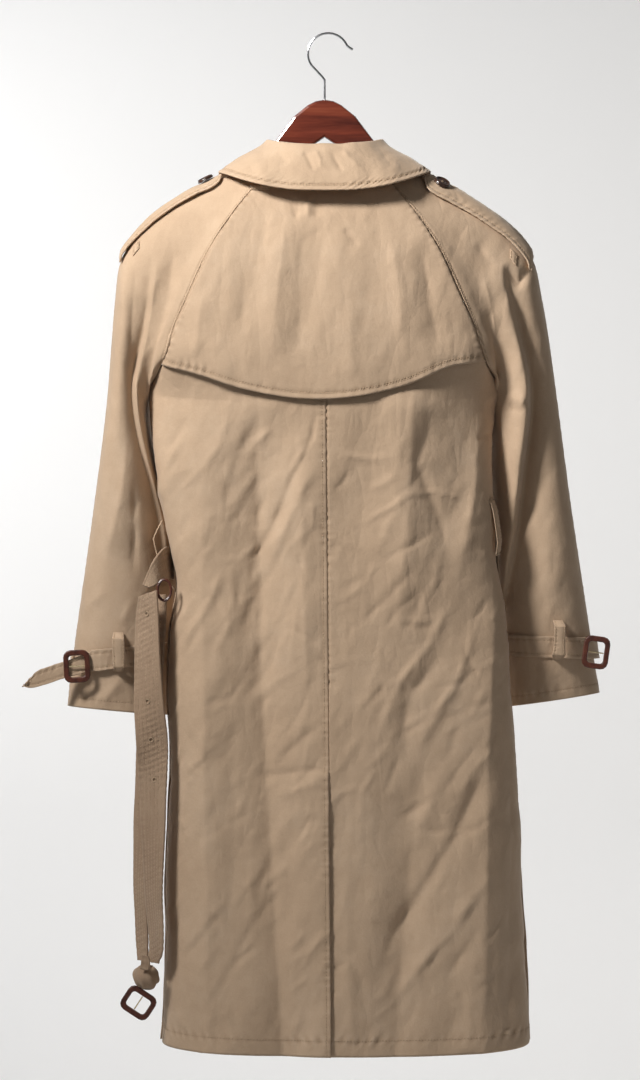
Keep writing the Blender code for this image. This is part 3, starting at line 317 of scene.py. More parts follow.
def sleeveRing(side, index, v):
    if index == 0:
        return seamRing(side, v)
    ring = rings[side][index - 1]
    turn = np.where(v <= 1, v, 2 - v)
    part = ((1 - np.cos(pi * turn)) / 2)[..., None]
    inner = np.array([side * ring[3], ring[4], ring[5]])
    outer = np.array([side * ring[0], ring[1], ring[2]])
    point = inner + (outer - inner) * part
    swing = np.maximum(np.sin(pi * turn), 0.0)
    point[..., 1] += np.where(v <= 1, back * ring[6], front * ring[7]) * swing**0.88
    if index < coatForm["seamReach"]:
        first = seamRing(side, v)
        low, high = seamRing(side, np.array([0.0]))[0], seamRing(side, np.array([1.0]))[0]
        height = ((first[..., 2] - low[2]) / (high[2] - low[2]))[..., None]
        moved = first + (inner - low) * (1 - height) + (outer - high) * height
        point = moved + (point - moved) * (index / coatForm["seamReach"])
    nearBody = sin(pi * min(index, coatForm["clearRings"]) / coatForm["clearRings"]) ** 0.5
    point[..., 0] += side * coatForm["underarmClear"] * swing**0.5 * (1 - part[..., 0]) * nearBody
    return point


def sleevePoint(side, u, v):
    u, v = np.broadcast_arrays(np.asarray(u, float), np.asarray(v, float) % 2)
    lines = np.stack([sleeveRing(side, index, v) for index in range(lastRing + 1)])
    slopes = np.gradient(lines, axis=0)
    index = np.clip(np.ceil(u).astype(int) - 1, 0, lastRing - 1)
    part = np.clip(u - index, 0, 1)[..., None]
    here = np.take_along_axis(lines, index[None, ..., None], 0)[0]
    after = np.take_along_axis(lines, index[None, ..., None] + 1, 0)[0]
    slope = np.take_along_axis(slopes, index[None, ..., None], 0)[0]
    slopeAfter = np.take_along_axis(slopes, index[None, ..., None] + 1, 0)[0]
    square, cube = part * part, part**3
    point = (2 * cube - 3 * square + 1) * here + (3 * square - 2 * cube) * after
    point = point + (cube - 2 * square + part) * slope + (cube - square) * slopeAfter
    backHalf = np.where((v > 0) & (v < 1), np.maximum(np.sin(pi * np.minimum(v, 1.0)), 0) ** 0.5, 0.0)
    point[..., 1] -= sleeveRelief(side, point[..., 0], point[..., 2]) * backHalf
    return point


def sleeveMiddle(side, u):
    return (sleevePoint(side, u, u * 0) + sleevePoint(side, u, u * 0 + 1)) / 2


def sleeveNormal(side, u, v):
    u, v = np.broadcast_arrays(np.asarray(u, float), np.asarray(v, float))
    u = np.clip(u, 0.02, lastRing - 0.02)
    small = 0.006
    down = sleevePoint(side, u + small, v) - sleevePoint(side, u - small, v)
    around = sleevePoint(side, u, v + small) - sleevePoint(side, u, v - small)
    normal = unit(np.cross(down, around))
    outward = sleevePoint(side, u, v) - sleeveMiddle(side, u)
    return normal * np.sign((normal * outward).sum(-1, keepdims=True))


def sleeveLifted(side, u, v, lift):
    u, v = np.broadcast_arrays(np.asarray(u, float), np.asarray(v, float))
    lift = np.asarray(lift, float) * np.ones(u.shape)
    return sleevePoint(side, u, v) + sleeveNormal(side, u, v) * lift[..., None]


def sleeveUAt(side, v, z):
    v, z = np.broadcast_arrays(np.asarray(v, float), np.asarray(z, float))
    low, high = np.full(v.shape, 4.0), np.full(v.shape, float(lastRing))
    return solveFor(lambda u: sleevePoint(side, u, v)[..., 2] - z, low, high)


def placeAround(side, u, start, distance):
    # the place around the sleeve at a distance from another one, measured on the cloth
    u = np.asarray(u, float)
    around = np.linspace(-0.45, 0.45, 241)
    rows = sleevePoint(side, u[:, None], np.asarray(start, float).reshape(-1, 1) + around)
    steps = np.linalg.norm(np.diff(rows, axis=1), axis=-1)
    gone = np.concatenate([np.zeros((len(u), 1)), np.cumsum(steps, 1)], 1)
    gone -= gone[:, 120:121]
    distance = np.asarray(distance, float) * np.ones(len(u))
    start = np.asarray(start, float) * np.ones(len(u))
    return np.array([start[k] + np.interp(distance[k], gone[k], around) for k in range(len(u))])


# sleeve folds: the long valley beside the inner part, then the smaller creases
sleeveFolds = {
    left: {
        "ridge": ((-0.29, -0.33, -0.37, -0.44, -0.477, -0.514, -0.555, -0.608, -0.68, -0.74),
                  (0.214, 0.216, 0.222, 0.2365, 0.2345, 0.2275, 0.217, 0.205, 0.196, 0.19)),
        "depth": ((-0.29, -0.35, -0.44, -0.52, -0.6, -0.7, -0.76),
                  (0.0, 0.006, 0.02, 0.02, 0.014, 0.005, 0.0)),
        "edge": 0.0045,
        "run": 0.021,
        "creases": (
            crease(((-0.2446, -0.5), (-0.252, -0.57), (-0.277, -0.672)), 0.013, 0.005, lean=0.35),
            crease(((-0.237, -0.553), (-0.2365, -0.62), (-0.238, -0.682)), 0.0045, -0.0035),
            crease(((-0.2425, -0.708), (-0.2533, -0.74)), 0.004, 0.0018),
            crease(((-0.25, -0.802), (-0.285, -0.842)), 0.009, 0.003),
            crease(((-0.286, -0.806), (-0.306, -0.838)), 0.007, -0.002),
            crease(((-0.268, -0.69), (-0.296, -0.715), (-0.306, -0.735)), 0.006, 0.0022),
            crease(((-0.234, -0.282), (-0.24, -0.373), (-0.2446, -0.45)), 0.009, -0.0035),
            crease(((-0.186, -0.268), (-0.193, -0.33)), 0.008, -0.002),
            crease(((-0.206, -0.28), (-0.214, -0.345)), 0.007, 0.0022),
            crease(((-0.2, -0.3), (-0.226, -0.338)), 0.0045, 0.0014),
            crease(((-0.206, -0.385), (-0.229, -0.41)), 0.004, 0.0016),
            crease(((-0.255, -0.33), (-0.262, -0.46)), 0.01, -0.002),
        ),
    },
    right: {
        "ridge": ((-0.29, -0.31, -0.3716, -0.4385, -0.477, -0.534, -0.614, -0.719, -0.76),
                  (0.222, 0.2249, 0.24, 0.2545, 0.2545, 0.2478, 0.239, 0.223, 0.218)),
        "depth": ((-0.29, -0.34, -0.43, -0.56, -0.66, -0.74, -0.78),
                  (0.0, 0.014, 0.03, 0.03, 0.018, 0.006, 0.0)),
        "edge": 0.0045,
        "run": 0.042,
        "creases": (
            crease(((0.221, -0.292), (0.24, -0.314), (0.259, -0.29)), 0.0065, -0.006, fade=(0.2, 0.2)),
            crease(((0.226, -0.45), (0.2515, -0.465)), 0.0055, 0.004),
            crease(((0.226, -0.462), (0.246, -0.476)), 0.005, -0.003),
            crease(((0.29, -0.656), (0.312, -0.624)), 0.0045, 0.0014),
            crease(((0.24, -0.806), (0.262, -0.83)), 0.008, 0.0024),
            crease(((0.286, -0.8), (0.3, -0.824)), 0.007, -0.0016),
            crease(((0.196, -0.3), (0.208, -0.35), (0.214, -0.395)), 0.009, 0.003),
            crease(((0.186, -0.262), (0.212, -0.3)), 0.008, -0.0025),
            crease(((0.206, -0.39), (0.232, -0.378)), 0.005, 0.0016),
            crease(((0.236, -0.5), (0.238, -0.6)), 0.009, 0.0025),
            crease(((0.3, -0.52), (0.318, -0.7)), 0.012, 0.002),
        ),
    },
}


def sleeveRelief(side, x, z):
    # outward height on the back half: minus in the long valley
    folds = sleeveFolds[side]
    ridge = throughValues(folds["ridge"][0], folds["ridge"][1], z)
    depth = np.maximum(throughValues(folds["depth"][0], folds["depth"][1], z), 0)
    beyond = np.abs(x) - ridge
    valley = smooth(-folds["edge"], folds["edge"], beyond) * np.exp(-np.maximum(beyond - 0.004, 0) / folds["run"] * 1.1)
    lobe = 0.16 * bell(beyond + 0.01, 0.01)
    rumple = 0.0007 * slantNoise(x, z, 0.012, 3.0, 62 * side, 5) + 0.001 * slantNoise(x, z, 0.03, 2.4, 75 * side, 9)
    return creaseRelief(x, z, folds["creases"]) - depth * (valley - lobe) + rumple * smooth(-0.2, -0.26, z)


# building cloth: a closed shell over a grid of points, its seams pressed in and its stitches laid on
def gridLengths(points):
    across = np.linalg.norm(np.diff(points, axis=1), axis=-1)
    down = np.linalg.norm(np.diff(points, axis=0), axis=-1)
    across = np.concatenate([np.zeros((points.shape[0], 1)), np.cumsum(across, 1)], 1)
    down = np.concatenate([np.zeros((1, points.shape[1])), np.cumsum(down, 0)], 0)
    return across, down


def gridNormals(points, outward):
    normal = unit(np.cross(np.gradient(points, axis=1), np.gradient(points, axis=0)))
    return normal if (normal * outward).sum() > 0 else -normal


def edgeDistance(points, edge):
    # how far each point is from one edge of its grid, and how far along that edge it lies
    across, down = gridLengths(points)
    if edge == "first":
        return across, down
    if edge == "last":
        return across[:, -1:] - across, down
    if edge == "top":
        return down, across
    return down[-1:] - down, across


seamLook = {"depth": 0.0006, "width": 0.0013, "lip": 0.0, "wave": 0.0095, "slant": 0.0, "band": 0.006,
            "pucker": 0.00045, "part": (0.0, 1.0)}


def seam(edge, *rows, stitched=True, **facts):
    # rows of stitches at these distances from an edge; the facts change what seamLook gives
    return {**seamLook, "edge": edge, "rows": rows, "stitch": rows if stitched else (), **facts}


def seamsAt(edges, *rows, **facts):
    return tuple(seam(edge, *rows, **facts) for edge in edges)


def seamRelief(points, made, seed):
    # a pressed line at each stitch row, with puckers across it
    distance, along = edgeDistance(points, made["edge"])
    height = made["lip"] * np.exp(-np.maximum(distance - 0.001, 0) / 0.004)
    for row in made["rows"]:
        height -= made["depth"] * bell(distance - row, made["width"])
    phase = along / made["wave"] * 2 * pi + 2.4 * softNoise(along / 0.028, 0 * along, seed)
    phase = phase + distance * made["slant"]
    strength = np.clip(0.55 + 0.6 * softNoise(along / 0.045, 0 * along, seed + 1), 0.05, 1.0)
    near = bell(distance - sum(made["rows"]) / len(made["rows"]), made["band"])
    height += 1.4 * made["pucker"] * np.sin(phase) * strength * near
    ends = made["part"]
    share = along / max(along.max(), 1e-6)
    return height * smooth(ends[0] - 0.004, ends[0] + 0.004, share) * smooth(ends[1] + 0.004, ends[1] - 0.004, share)


def edgePath(points, edge, inset, part=(0.0, 1.0)):
    across, down = gridLengths(points)
    rows, columns = across.shape
    if edge in ("first", "last"):
        picked = np.arange(int(part[0] * (rows - 1)), int(part[1] * (rows - 1)) + 1)
        wanted = [inset if edge == "first" else across[r, -1] - inset for r in picked]
        places = [np.interp(w, across[r], np.arange(columns)) for w, r in zip(wanted, picked)]
        return picked.astype(float), np.array(places)
    picked = np.arange(int(part[0] * (columns - 1)), int(part[1] * (columns - 1)) + 1)
    wanted = [inset if edge == "top" else down[-1, c] - inset for c in picked]
    return np.array([np.interp(w, down[:, c], np.arange(rows)) for w, c in zip(wanted, picked)]), picked.astype(float)


def onGrid(values, r, c):
    rows, columns = values.shape[:2]
    r0 = np.clip(np.floor(r).astype(int), 0, rows - 2)
    c0 = np.clip(np.floor(c).astype(int), 0, columns - 2)
    fr, fc = (r - r0)[:, None], (c - c0)[:, None]
    upper = values[r0, c0] * (1 - fc) + values[r0, c0 + 1] * fc
    lower = values[r0 + 1, c0] * (1 - fc) + values[r0 + 1, c0 + 1] * fc
    return upper * (1 - fr) + lower * fr


spindleFaces = [(0, 2, 1), (0, 3, 2), (0, 4, 3), (0, 1, 4), (1, 2, 6, 5), (2, 3, 7, 6), (3, 4, 8, 7), (4, 1, 5, 8),
                (9, 5, 6), (9, 6, 7), (9, 7, 8), (9, 8, 5)]
thread = {"length": 0.0027, "gap": 0.0011, "width": 0.00046, "lift": 0.00014}


def stitchesAlong(points, normals, r, c):
    # one small spindle of thread for each stitch of a row
    line, up = onGrid(points, r, c), unit(onGrid(normals, r, c))
    steps = np.linalg.norm(np.diff(line, axis=0), axis=1)
    gone = np.concatenate([[0], np.cumsum(steps)])
    pitch = thread["length"] + thread["gap"]
    starts = np.arange(0.0015, gone[-1] - thread["length"], pitch)
    if len(starts) == 0:
        return np.zeros((0, 3)), []
    at = lambda values, where: np.stack([np.interp(where, gone, values[:, k]) for k in range(3)], -1)
    head, tail, top = at(line, starts), at(line, starts + thread["length"]), unit(at(up, starts))
    run = unit(tail - head)
    sideways = unit(np.cross(run, top))
    w, lift = thread["width"], thread["lift"]
    vertices = [head - top * w * 0.5]
    for share in (0.22, 0.78):
        middle = head + (tail - head) * share + top * lift
        vertices += [middle + sideways * w, middle + top * w, middle - sideways * w, middle - top * w]
    vertices.append(tail - top * w * 0.5)
    vertices = np.stack(vertices, 1).reshape(-1, 3)
    return vertices, [tuple(k * 10 + i for i in face) for k in range(len(starts)) for face in spindleFaces]


def ringAt(centre, normal, radius, wire, steps=14, sides=5):
    # a small stitched ring, for an eyelet
    normal = Vector(normal).normalized()
    first = normal.orthogonal().normalized()
    second = normal.cross(first)
    vertices, faces = [], []
    for k in range(steps):
        out = first * cos(2 * pi * k / steps) + second * sin(2 * pi * k / steps)
        for j in range(sides):
            angle = 2 * pi * j / sides
            vertices.append(Vector(centre) + out * (radius + wire * cos(angle)) + normal * wire * sin(angle))
    for k in range(steps):
        for j in range(sides):
            a, b = k * sides + j, k * sides + (j + 1) % sides
            c, d = ((k + 1) % steps) * sides + (j + 1) % sides, ((k + 1) % steps) * sides + j
            faces.append((a, b, c, d))
    return np.array([tuple(v) for v in vertices]), faces


def addObject(name, data):
    made = bpy.data.objects.new(name, data)
    bpy.context.scene.collection.objects.link(made)
    return made


def towardBack(points):
    return np.broadcast_to([0.0, -1.0, 0.0], points.shape)


def addPiece(name, vertices, faces, plain, finish):
    # the faces past the plain ones are thread
    data = bpy.data.meshes.new(name)
    data.from_pydata(vertices - np.array([hookShift, 0, 0]), [], faces)
    for look in (finish, "thread"):
        data.materials.append(materials[look])
    slots = np.zeros(len(faces), np.int32)
    slots[plain:] = 1
    data.polygons.foreach_set("material_index", slots)
    data.shade_smooth()
    made = addObject(name, data)
    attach(made, "root")
    return made


pieceCount = {"made": 0}
clothWall, collarWall, strapWall, beltWall = 0.0012, 0.0018, 0.002, 0.0026


def makeCloth(name, points, outward, piece, relief=None, extra=()):
    # piece: thickness, seams, paths of more stitches, nodes, cut (not used here) and finish
    # the outer face is the given grid moved by its relief
    pieceCount["made"] += 1
    seed = 31 * pieceCount["made"]
    normals = gridNormals(points, outward)
    height = np.zeros(points.shape[:2]) if relief is None else relief.copy()
    # the seams' colour marks: painted shade, darker in the pressed-in stitch grooves, and wear, lighter on the puckers
    # and lips
    shadeToWear = np.zeros(points.shape[:2])
    for k, sewn in enumerate(piece.get("seams", ())):
        pressed = seamRelief(points, sewn, seed + 7 * k)
        height += pressed
        shadeToWear += pressed / seamLook["depth"]
    outer = points + normals * height[..., None]
    normals = gridNormals(outer, outward)
    inner = outer - normals * piece["thickness"]
    rows, columns = points.shape[:2]
    index = np.arange(rows * columns).reshape(rows, columns)
    quads = np.stack([index[:-1, :-1], index[:-1, 1:], index[1:, 1:], index[1:, :-1]], -1).reshape(-1, 4)
    if (np.cross(outer[0, 1] - outer[0, 0], outer[1, 0] - outer[0, 0]) * normals[0, 0]).sum() < 0:
        quads = quads[:, ::-1]
        rim = np.concatenate([index[:, 0], index[-1, 1:], index[-2::-1, -1], index[0, -2:0:-1]])
    else:
        rim = np.concatenate([index[0, :], index[1:, -1], index[-1, -2::-1], index[-2:0:-1, 0]])
    count = rows * columns
    after = np.roll(rim, -1)
    walls = np.stack([after, rim, rim + count, after + count], -1)
    faces = [tuple(f) for f in np.concatenate([quads, quads[:, ::-1] + count, walls]).tolist()]
    vertices = [outer.reshape(-1, 3), inner.reshape(-1, 3)]
    across, down = gridLengths(points)
    flatUv = np.stack([across, down], -1).reshape(-1, 2)
    uvs, grooveShadeAndWear = [flatUv, flatUv], [shadeToWear.reshape(-1), shadeToWear.reshape(-1) * 0]
    clothFaces, total = len(faces), 2 * count
    runs = [(sewn["edge"], row, sewn["part"]) for sewn in piece.get("seams", ()) for row in sewn["stitch"]]
    parts = [stitchesAlong(outer, normals, *edgePath(points, edge, row, part)) for edge, row, part in runs]
    parts += [stitchesAlong(outer, normals, *path) for path in piece.get("paths", ())]
    parts += list(extra)
    for more, moreFaces in parts:
        if len(more):
            faces += [tuple(i + total for i in face) for face in moreFaces]
            vertices.append(more)
            uvs.append(more[:, [0, 2]])
            grooveShadeAndWear.append(np.zeros(len(more)))
            total += len(more)
    made = addPiece(name, np.concatenate(vertices), faces, clothFaces, piece.get("finish", "gabardine"))
    data = made.data
    layer = data.uv_layers.new(name="cut")
    loops = np.empty(len(data.loops), np.int32)
    data.loops.foreach_get("vertex_index", loops)
    layer.data.foreach_set("uv", np.concatenate(uvs)[loops].astype(np.float32).ravel())
    # the seam marks go to the material: painted shade in the grooves, lighter wear on the ridges
    data.attributes.new("seamShadeAndWear", "FLOAT", "POINT").data.foreach_set("value", np.concatenate(grooveShadeAndWear).astype(np.float32))
    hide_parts(*piece.get("nodes", (name.replace("cloth_", ""),)))
    width, length = across.max(axis=1), down.max(axis=0)
    cells = np.linalg.norm(np.cross(outer[1:, 1:] - outer[:-1, :-1], outer[:-1, 1:] - outer[1:, :-1]), axis=-1)
    print(f"  {name}: {len(faces)} faces, {width.max():.3f} x {length.max():.3f} m, {cells.sum() / 2:.4f} m2")
    return made


# materials
def socketGroup(name, inputs, outputs):
    group = bpy.data.node_groups.new(name, "ShaderNodeTree")
    for label, kind, value in inputs:
        made = group.interface.new_socket(name=label, in_out="INPUT", socket_type=kind)
        if value is not None:
            made.default_value = value
    for label, kind in outputs:
        group.interface.new_socket(name=label, in_out="OUTPUT", socket_type=kind)
    return group, group.nodes.new("NodeGroupInput"), group.nodes.new("NodeGroupOutput")


def feed(tree, node, inputs):
    # each input takes a value, or the socket that feeds it
    for label, value in inputs.items():
        if isinstance(value, bpy.types.NodeSocket):
            tree.links.new(value, node.inputs[label])
        else:
            node.inputs[label].default_value = value


def newNode(tree, kind, inputs, **settings):
    node = tree.nodes.new("ShaderNode" + kind)
    for setting, value in settings.items():
        setattr(node, setting, value)
    feed(tree, node, inputs)
    return node


def mathNode(tree, operation, *values, clamp=False):
    return newNode(tree, "Math", dict(enumerate(values)), operation=operation, use_clamp=clamp).outputs[0]


def noiseNode(tree, vector, scale, detail=3.0, roughness=0.5, result="Fac"):
    facts = {"Vector": vector, "Scale": scale, "Detail": detail, "Roughness": roughness}
    return newNode(tree, "TexNoise", facts).outputs[result]


def makeTwillGroup():
    # the fine slanting rib of gabardine, from lengths in metres
    group, given, out = socketGroup("twillRib", [("Place", "NodeSocketVector", None),
                                                 ("Rib", "NodeSocketFloat", 0.0006)],
                                    [("Height", "NodeSocketFloat")])
    split = newNode(group, "SeparateXYZ", {0: given.outputs["Place"]}).outputs
    slant = mathNode(group, "MULTIPLY_ADD", split["X"], 2.0, split["Y"])
    turns = mathNode(group, "DIVIDE", slant, given.outputs["Rib"])
    rib = mathNode(group, "SINE", mathNode(group, "MULTIPLY", turns, 2 * pi))
    cross = mathNode(group, "DIVIDE", split["X"], given.outputs["Rib"])
    fleck = mathNode(group, "SINE", mathNode(group, "MULTIPLY", cross, 2 * pi * 1.7))
    feed(group, out, {"Height": mathNode(group, "MULTIPLY_ADD", fleck, 0.25, rib)})
    return group


def makeToneGroup():
    # broad, middle and fine changes of tone, from -1 to 1
    group, given, out = socketGroup("clothTone", [("Place", "NodeSocketVector", None),
                                                  ("Broad", "NodeSocketFloat", 5.0),
                                                  ("Fine", "NodeSocketFloat", 60.0)], [("Tone", "NodeSocketFloat")])
    place = given.outputs["Place"]
    total = None
    for share, noise in ((1.6, noiseNode(group, place, given.outputs["Broad"])),
                         (0.9, noiseNode(group, place, given.outputs["Fine"], 5.0, 0.65)),
                         (0.9, noiseNode(group, place, 900.0, 2.0))):
        part = mathNode(group, "MULTIPLY", mathNode(group, "SUBTRACT", noise, 0.5), share)
        total = part if total is None else mathNode(group, "ADD", total, part)
    feed(group, out, {"Tone": total})
    return group


def makeCreaseGroup():
    # pressed creases: a net of thin lines drawn out along a slant, stronger in some places
    group, given, out = socketGroup("creaseNet", [("Place", "NodeSocketVector", None),
                                                  ("Count", "NodeSocketFloat", 20.0)],
                                    [("Height", "NodeSocketFloat")])
    place = given.outputs["Place"]
    wander = noiseNode(group, place, 16.0, 2.0, result="Color")
    moved = newNode(group, "VectorMath", {0: wander, 1: (0.012, 0.012, 0.012), 2: place}, operation="MULTIPLY_ADD")
    total = None
    for turn, factor, share in ((34, 1.0, 0.55), (-20, 1.9, 0.28), (58, 3.1, 0.17)):
        slant = newNode(group, "Mapping", {"Vector": moved.outputs["Vector"], "Rotation": (0, radians(-turn), 0),
                                           "Scale": (1.0, 1.0, 0.36)})
        count = mathNode(group, "MULTIPLY", given.outputs["Count"], factor)
        cells = newNode(group, "TexVoronoi", {}, feature="DISTANCE_TO_EDGE")
        feed(group, cells, {"Vector": slant.outputs["Vector"], "Scale": count})
        narrow = mathNode(group, "MULTIPLY", cells.outputs["Distance"], 1.7, clamp=True)
        ridge = mathNode(group, "POWER", narrow, 0.85)
        patch = noiseNode(group, place, 9.0 * factor, 2.0)
        strength = mathNode(group, "MULTIPLY_ADD", patch, 3.4, -1.15, clamp=True)
        part = mathNode(group, "MULTIPLY", mathNode(group, "MULTIPLY", ridge, strength), share)
        total = part if total is None else mathNode(group, "ADD", total, part)
    feed(group, out, {"Height": total})
    return group


def newMaterial(name):
    made = bpy.data.materials.new(name)
    made.use_nodes = True
    return made, made.node_tree, made.node_tree.nodes["Principled BSDF"]


def groupNode(tree, group, **inputs):
    node = newNode(tree, "Group", {}, node_tree=group)
    feed(tree, node, inputs)
    return node.outputs[0]


def rampNode(tree, factor, stops):
    node = tree.nodes.new("ShaderNodeValToRGB")
    while len(node.color_ramp.elements) < len(stops):
        node.color_ramp.elements.new(0.5)
    for element, (place, colour) in zip(node.color_ramp.elements, stops):
        element.position, element.color = place, (*colour, 1)
    tree.links.new(factor, node.inputs["Fac"])
    return node.outputs["Color"]


def bumpNode(tree, height, distance, strength, **more):
    facts = {"Height": height, "Distance": distance, "Strength": strength, **more}
    return newNode(tree, "Bump", facts).outputs["Normal"]


gabardineLook = {
    "shade": (0.35, 0.238, 0.152),
    "main": (0.505, 0.362, 0.245),
    "shadeToWear": (0.65, 0.5, 0.365),
    "roughness": 0.88,
    "sheen": 0.25,
    "rib": 0.0009,
    "creaseCount": 19.0,
    "creaseDepth": 0.003,
}
# the belt's cloth: the coat's gabardine painted darker, as painted shade for the shade the belt hangs in, with
# shallower creases
beltPaintedShadeLook = dict(gabardineLook, shade=(0.185, 0.118, 0.074), main=(0.33, 0.226, 0.15), shadeToWear=(0.5, 0.37, 0.26),
                creaseDepth=0.0012)


def makeGabardine(name, look):
    made, tree, shader = newMaterial(name)
    coordinates = newNode(tree, "TexCoord", {}).outputs
    place = coordinates["Object"]
    tone = groupNode(tree, groups["tone"], Place=place, Broad=5.5, Fine=45.0)
    # seam marks: painted shade darkens the stitch grooves, and wear lightens the puckers and lips
    grooveShadeAndWear = newNode(tree, "Attribute", {}, attribute_name="seamShadeAndWear").outputs["Fac"]
    lean = mathNode(tree, "MULTIPLY_ADD", tone, 0.34, 0.5)
    total = mathNode(tree, "ADD", lean, mathNode(tree, "MULTIPLY", grooveShadeAndWear, 0.16), clamp=True)
    net = groupNode(tree, groups["creases"], Place=place, Count=look["creaseCount"])
    creased = mathNode(tree, "MULTIPLY_ADD", noiseNode(tree, place, 70.0, 3.0, 0.55), 0.3, net)
    firstBump = bumpNode(tree, creased, look["creaseDepth"], 1.0)
    twill = groupNode(tree, groups["twill"], Place=coordinates["UV"], Rib=look["rib"])
    woven = mathNode(tree, "MULTIPLY_ADD", twill, 0.12, noiseNode(tree, place, 420.0, 4.0, 0.6))
    feed(tree, shader, {
        "Base Color": rampNode(tree, total, ((0.0, look["shade"]), (0.5, look["main"]), (1.0, look["shadeToWear"]))),
        "Normal": bumpNode(tree, woven, 0.00012, 0.5, Normal=firstBump),
        "Roughness": look["roughness"],
        "Specular IOR Level": 0.33,
        "Sheen Weight": look["sheen"],
        "Sheen Roughness": 0.45,
        "Sheen Tint": (1.0, 0.93, 0.84, 1),
    })
    return made


def makePlainFinish(name, look):
    # leather, horn, wood and metal: tone from noise, a bump of its own scale, then its gloss
    made, tree, shader = newMaterial(name)
    place = newNode(tree, "TexCoord", {}).outputs["Object"]
    spread = newNode(tree, "Mapping", {"Vector": place, "Scale": look.get("stretch", (1, 1, 1))}).outputs["Vector"]
    least, most = look["roughness"]
    rough = newNode(tree, "MapRange", {"Value": noiseNode(tree, spread, look["scale"] * 2.3, 3.0),
                                       "To Min": least, "To Max": most})
    feed(tree, shader, {
        "Base Color": rampNode(tree, noiseNode(tree, spread, look["scale"], 5.0, 0.6), look["tones"]),
        "Roughness": rough.outputs["Result"],
        "Normal": bumpNode(tree, noiseNode(tree, place, look["grain"], 3.0), look["bump"], 0.6),
        "Metallic": look.get("metallic", 0.0),
        "Coat Weight": look.get("coat", 0.0),
        "Coat Roughness": look.get("coatRoughness", 0.1),
    })
    return made


finishes = {
    "thread": {"scale": 400, "tones": ((0.3, (0.36, 0.255, 0.165)), (0.7, (0.5, 0.37, 0.25))),
               "roughness": (0.7, 0.9), "grain": 2500, "bump": 0.00008},
    "leather": {"scale": 120, "tones": ((0.3, (0.04, 0.01, 0.006)), (0.62, (0.11, 0.028, 0.014)),
                                        (0.9, (0.2, 0.065, 0.03))),
                "roughness": (0.28, 0.5), "grain": 900, "bump": 0.00025, "coat": 0.25, "coatRoughness": 0.25},
    "button_horn": {"scale": 160, "tones": ((0.35, (0.016, 0.008, 0.006)), (0.6, (0.06, 0.026, 0.016)),
                                            (0.8, (0.19, 0.1, 0.06))),
                    "roughness": (0.22, 0.4), "grain": 500, "bump": 0.00006, "coat": 0.4, "coatRoughness": 0.12},
    "mahogany": {"scale": 30, "stretch": (0.25, 1, 3.0), "roughness": (0.16, 0.28), "grain": 220, "bump": 0.00008,
                 "coat": 0.8,
                 "tones": ((0.3, (0.055, 0.01, 0.006)), (0.55, (0.155, 0.03, 0.015)),
                           (0.8, (0.25, 0.06, 0.028))), "coatRoughness": 0.07},
    "steel": {"scale": 90, "tones": ((0.2, (0.6, 0.61, 0.63)), (0.8, (0.78, 0.78, 0.8))), "roughness": (0.12, 0.24),
              "grain": 600, "bump": 0.00002, "metallic": 1.0},
    "brass": {"scale": 200, "tones": ((0.2, (0.52, 0.4, 0.22)), (0.8, (0.78, 0.66, 0.42))), "roughness": (0.22, 0.4),
              "grain": 700, "bump": 0.00003, "metallic": 1.0},
    "wall": {"scale": 1.2, "tones": ((0.2, (0.78, 0.78, 0.78)), (0.8, (0.81, 0.81, 0.81))), "roughness": (0.8, 0.95),
             "grain": 60, "bump": 0.0002},
}
groups = {"twill": makeTwillGroup(), "tone": makeToneGroup(), "creases": makeCreaseGroup()}
materials = {name: makePlainFinish(name, look) for name, look in finishes.items()}
materials["gabardine"] = makeGabardine("gabardine", gabardineLook)
# a darker copy of the gabardine for the belt pieces: painted shade
materials["beltCloth"] = makeGabardine("beltCloth", beltPaintedShadeLook)
print("materials:", len(materials))


# the back: two panels that meet at the centre seam, and lap at the vent
def centreSeamX(z):
    return 0.002 + 0.004 * np.clip((-0.46 - z) / 0.45, 0.0, 1.0)


def evenly(count, gather=0.0, low=0.0, high=1.0):
    # steps from low to high, closer together at both ends
    t = np.linspace(0, 1, count)
    return low + (high - low) * (t - gather * np.sin(2 * pi * t) / (2 * pi))


broadFolds = (
    # the largest folds, down to the hem
    crease(((-0.152, -0.5), (-0.148, -0.8), (-0.142, -1.29)), 0.034, 0.0085, fade=(0.25, 0.0)),
    crease(((-0.086, -0.45), (-0.08, -0.8), (-0.052, -1.29)), 0.036, -0.015, fade=(0.12, 0.0)),
    crease(((-0.032, -0.46), (-0.026, -0.66), (-0.02, -0.9)), 0.022, 0.005, fade=(0.2, 0.4)),
    crease(((0.108, -0.43), (0.102, -0.6), (0.09, -0.78)), 0.042, 0.011, fade=(0.05, 0.4)),
    crease(((0.125, -0.86), (0.105, -1.04), (0.085, -1.29)), 0.032, -0.009, fade=(0.35, 0.0)),
    crease(((0.21, -0.64), (0.2, -0.9), (0.192, -1.29)), 0.032, 0.009, fade=(0.25, 0.0)),
    crease(((-0.116, -0.8), (-0.113, -1.0), (-0.121, -1.17)), 0.018, -0.003),
)
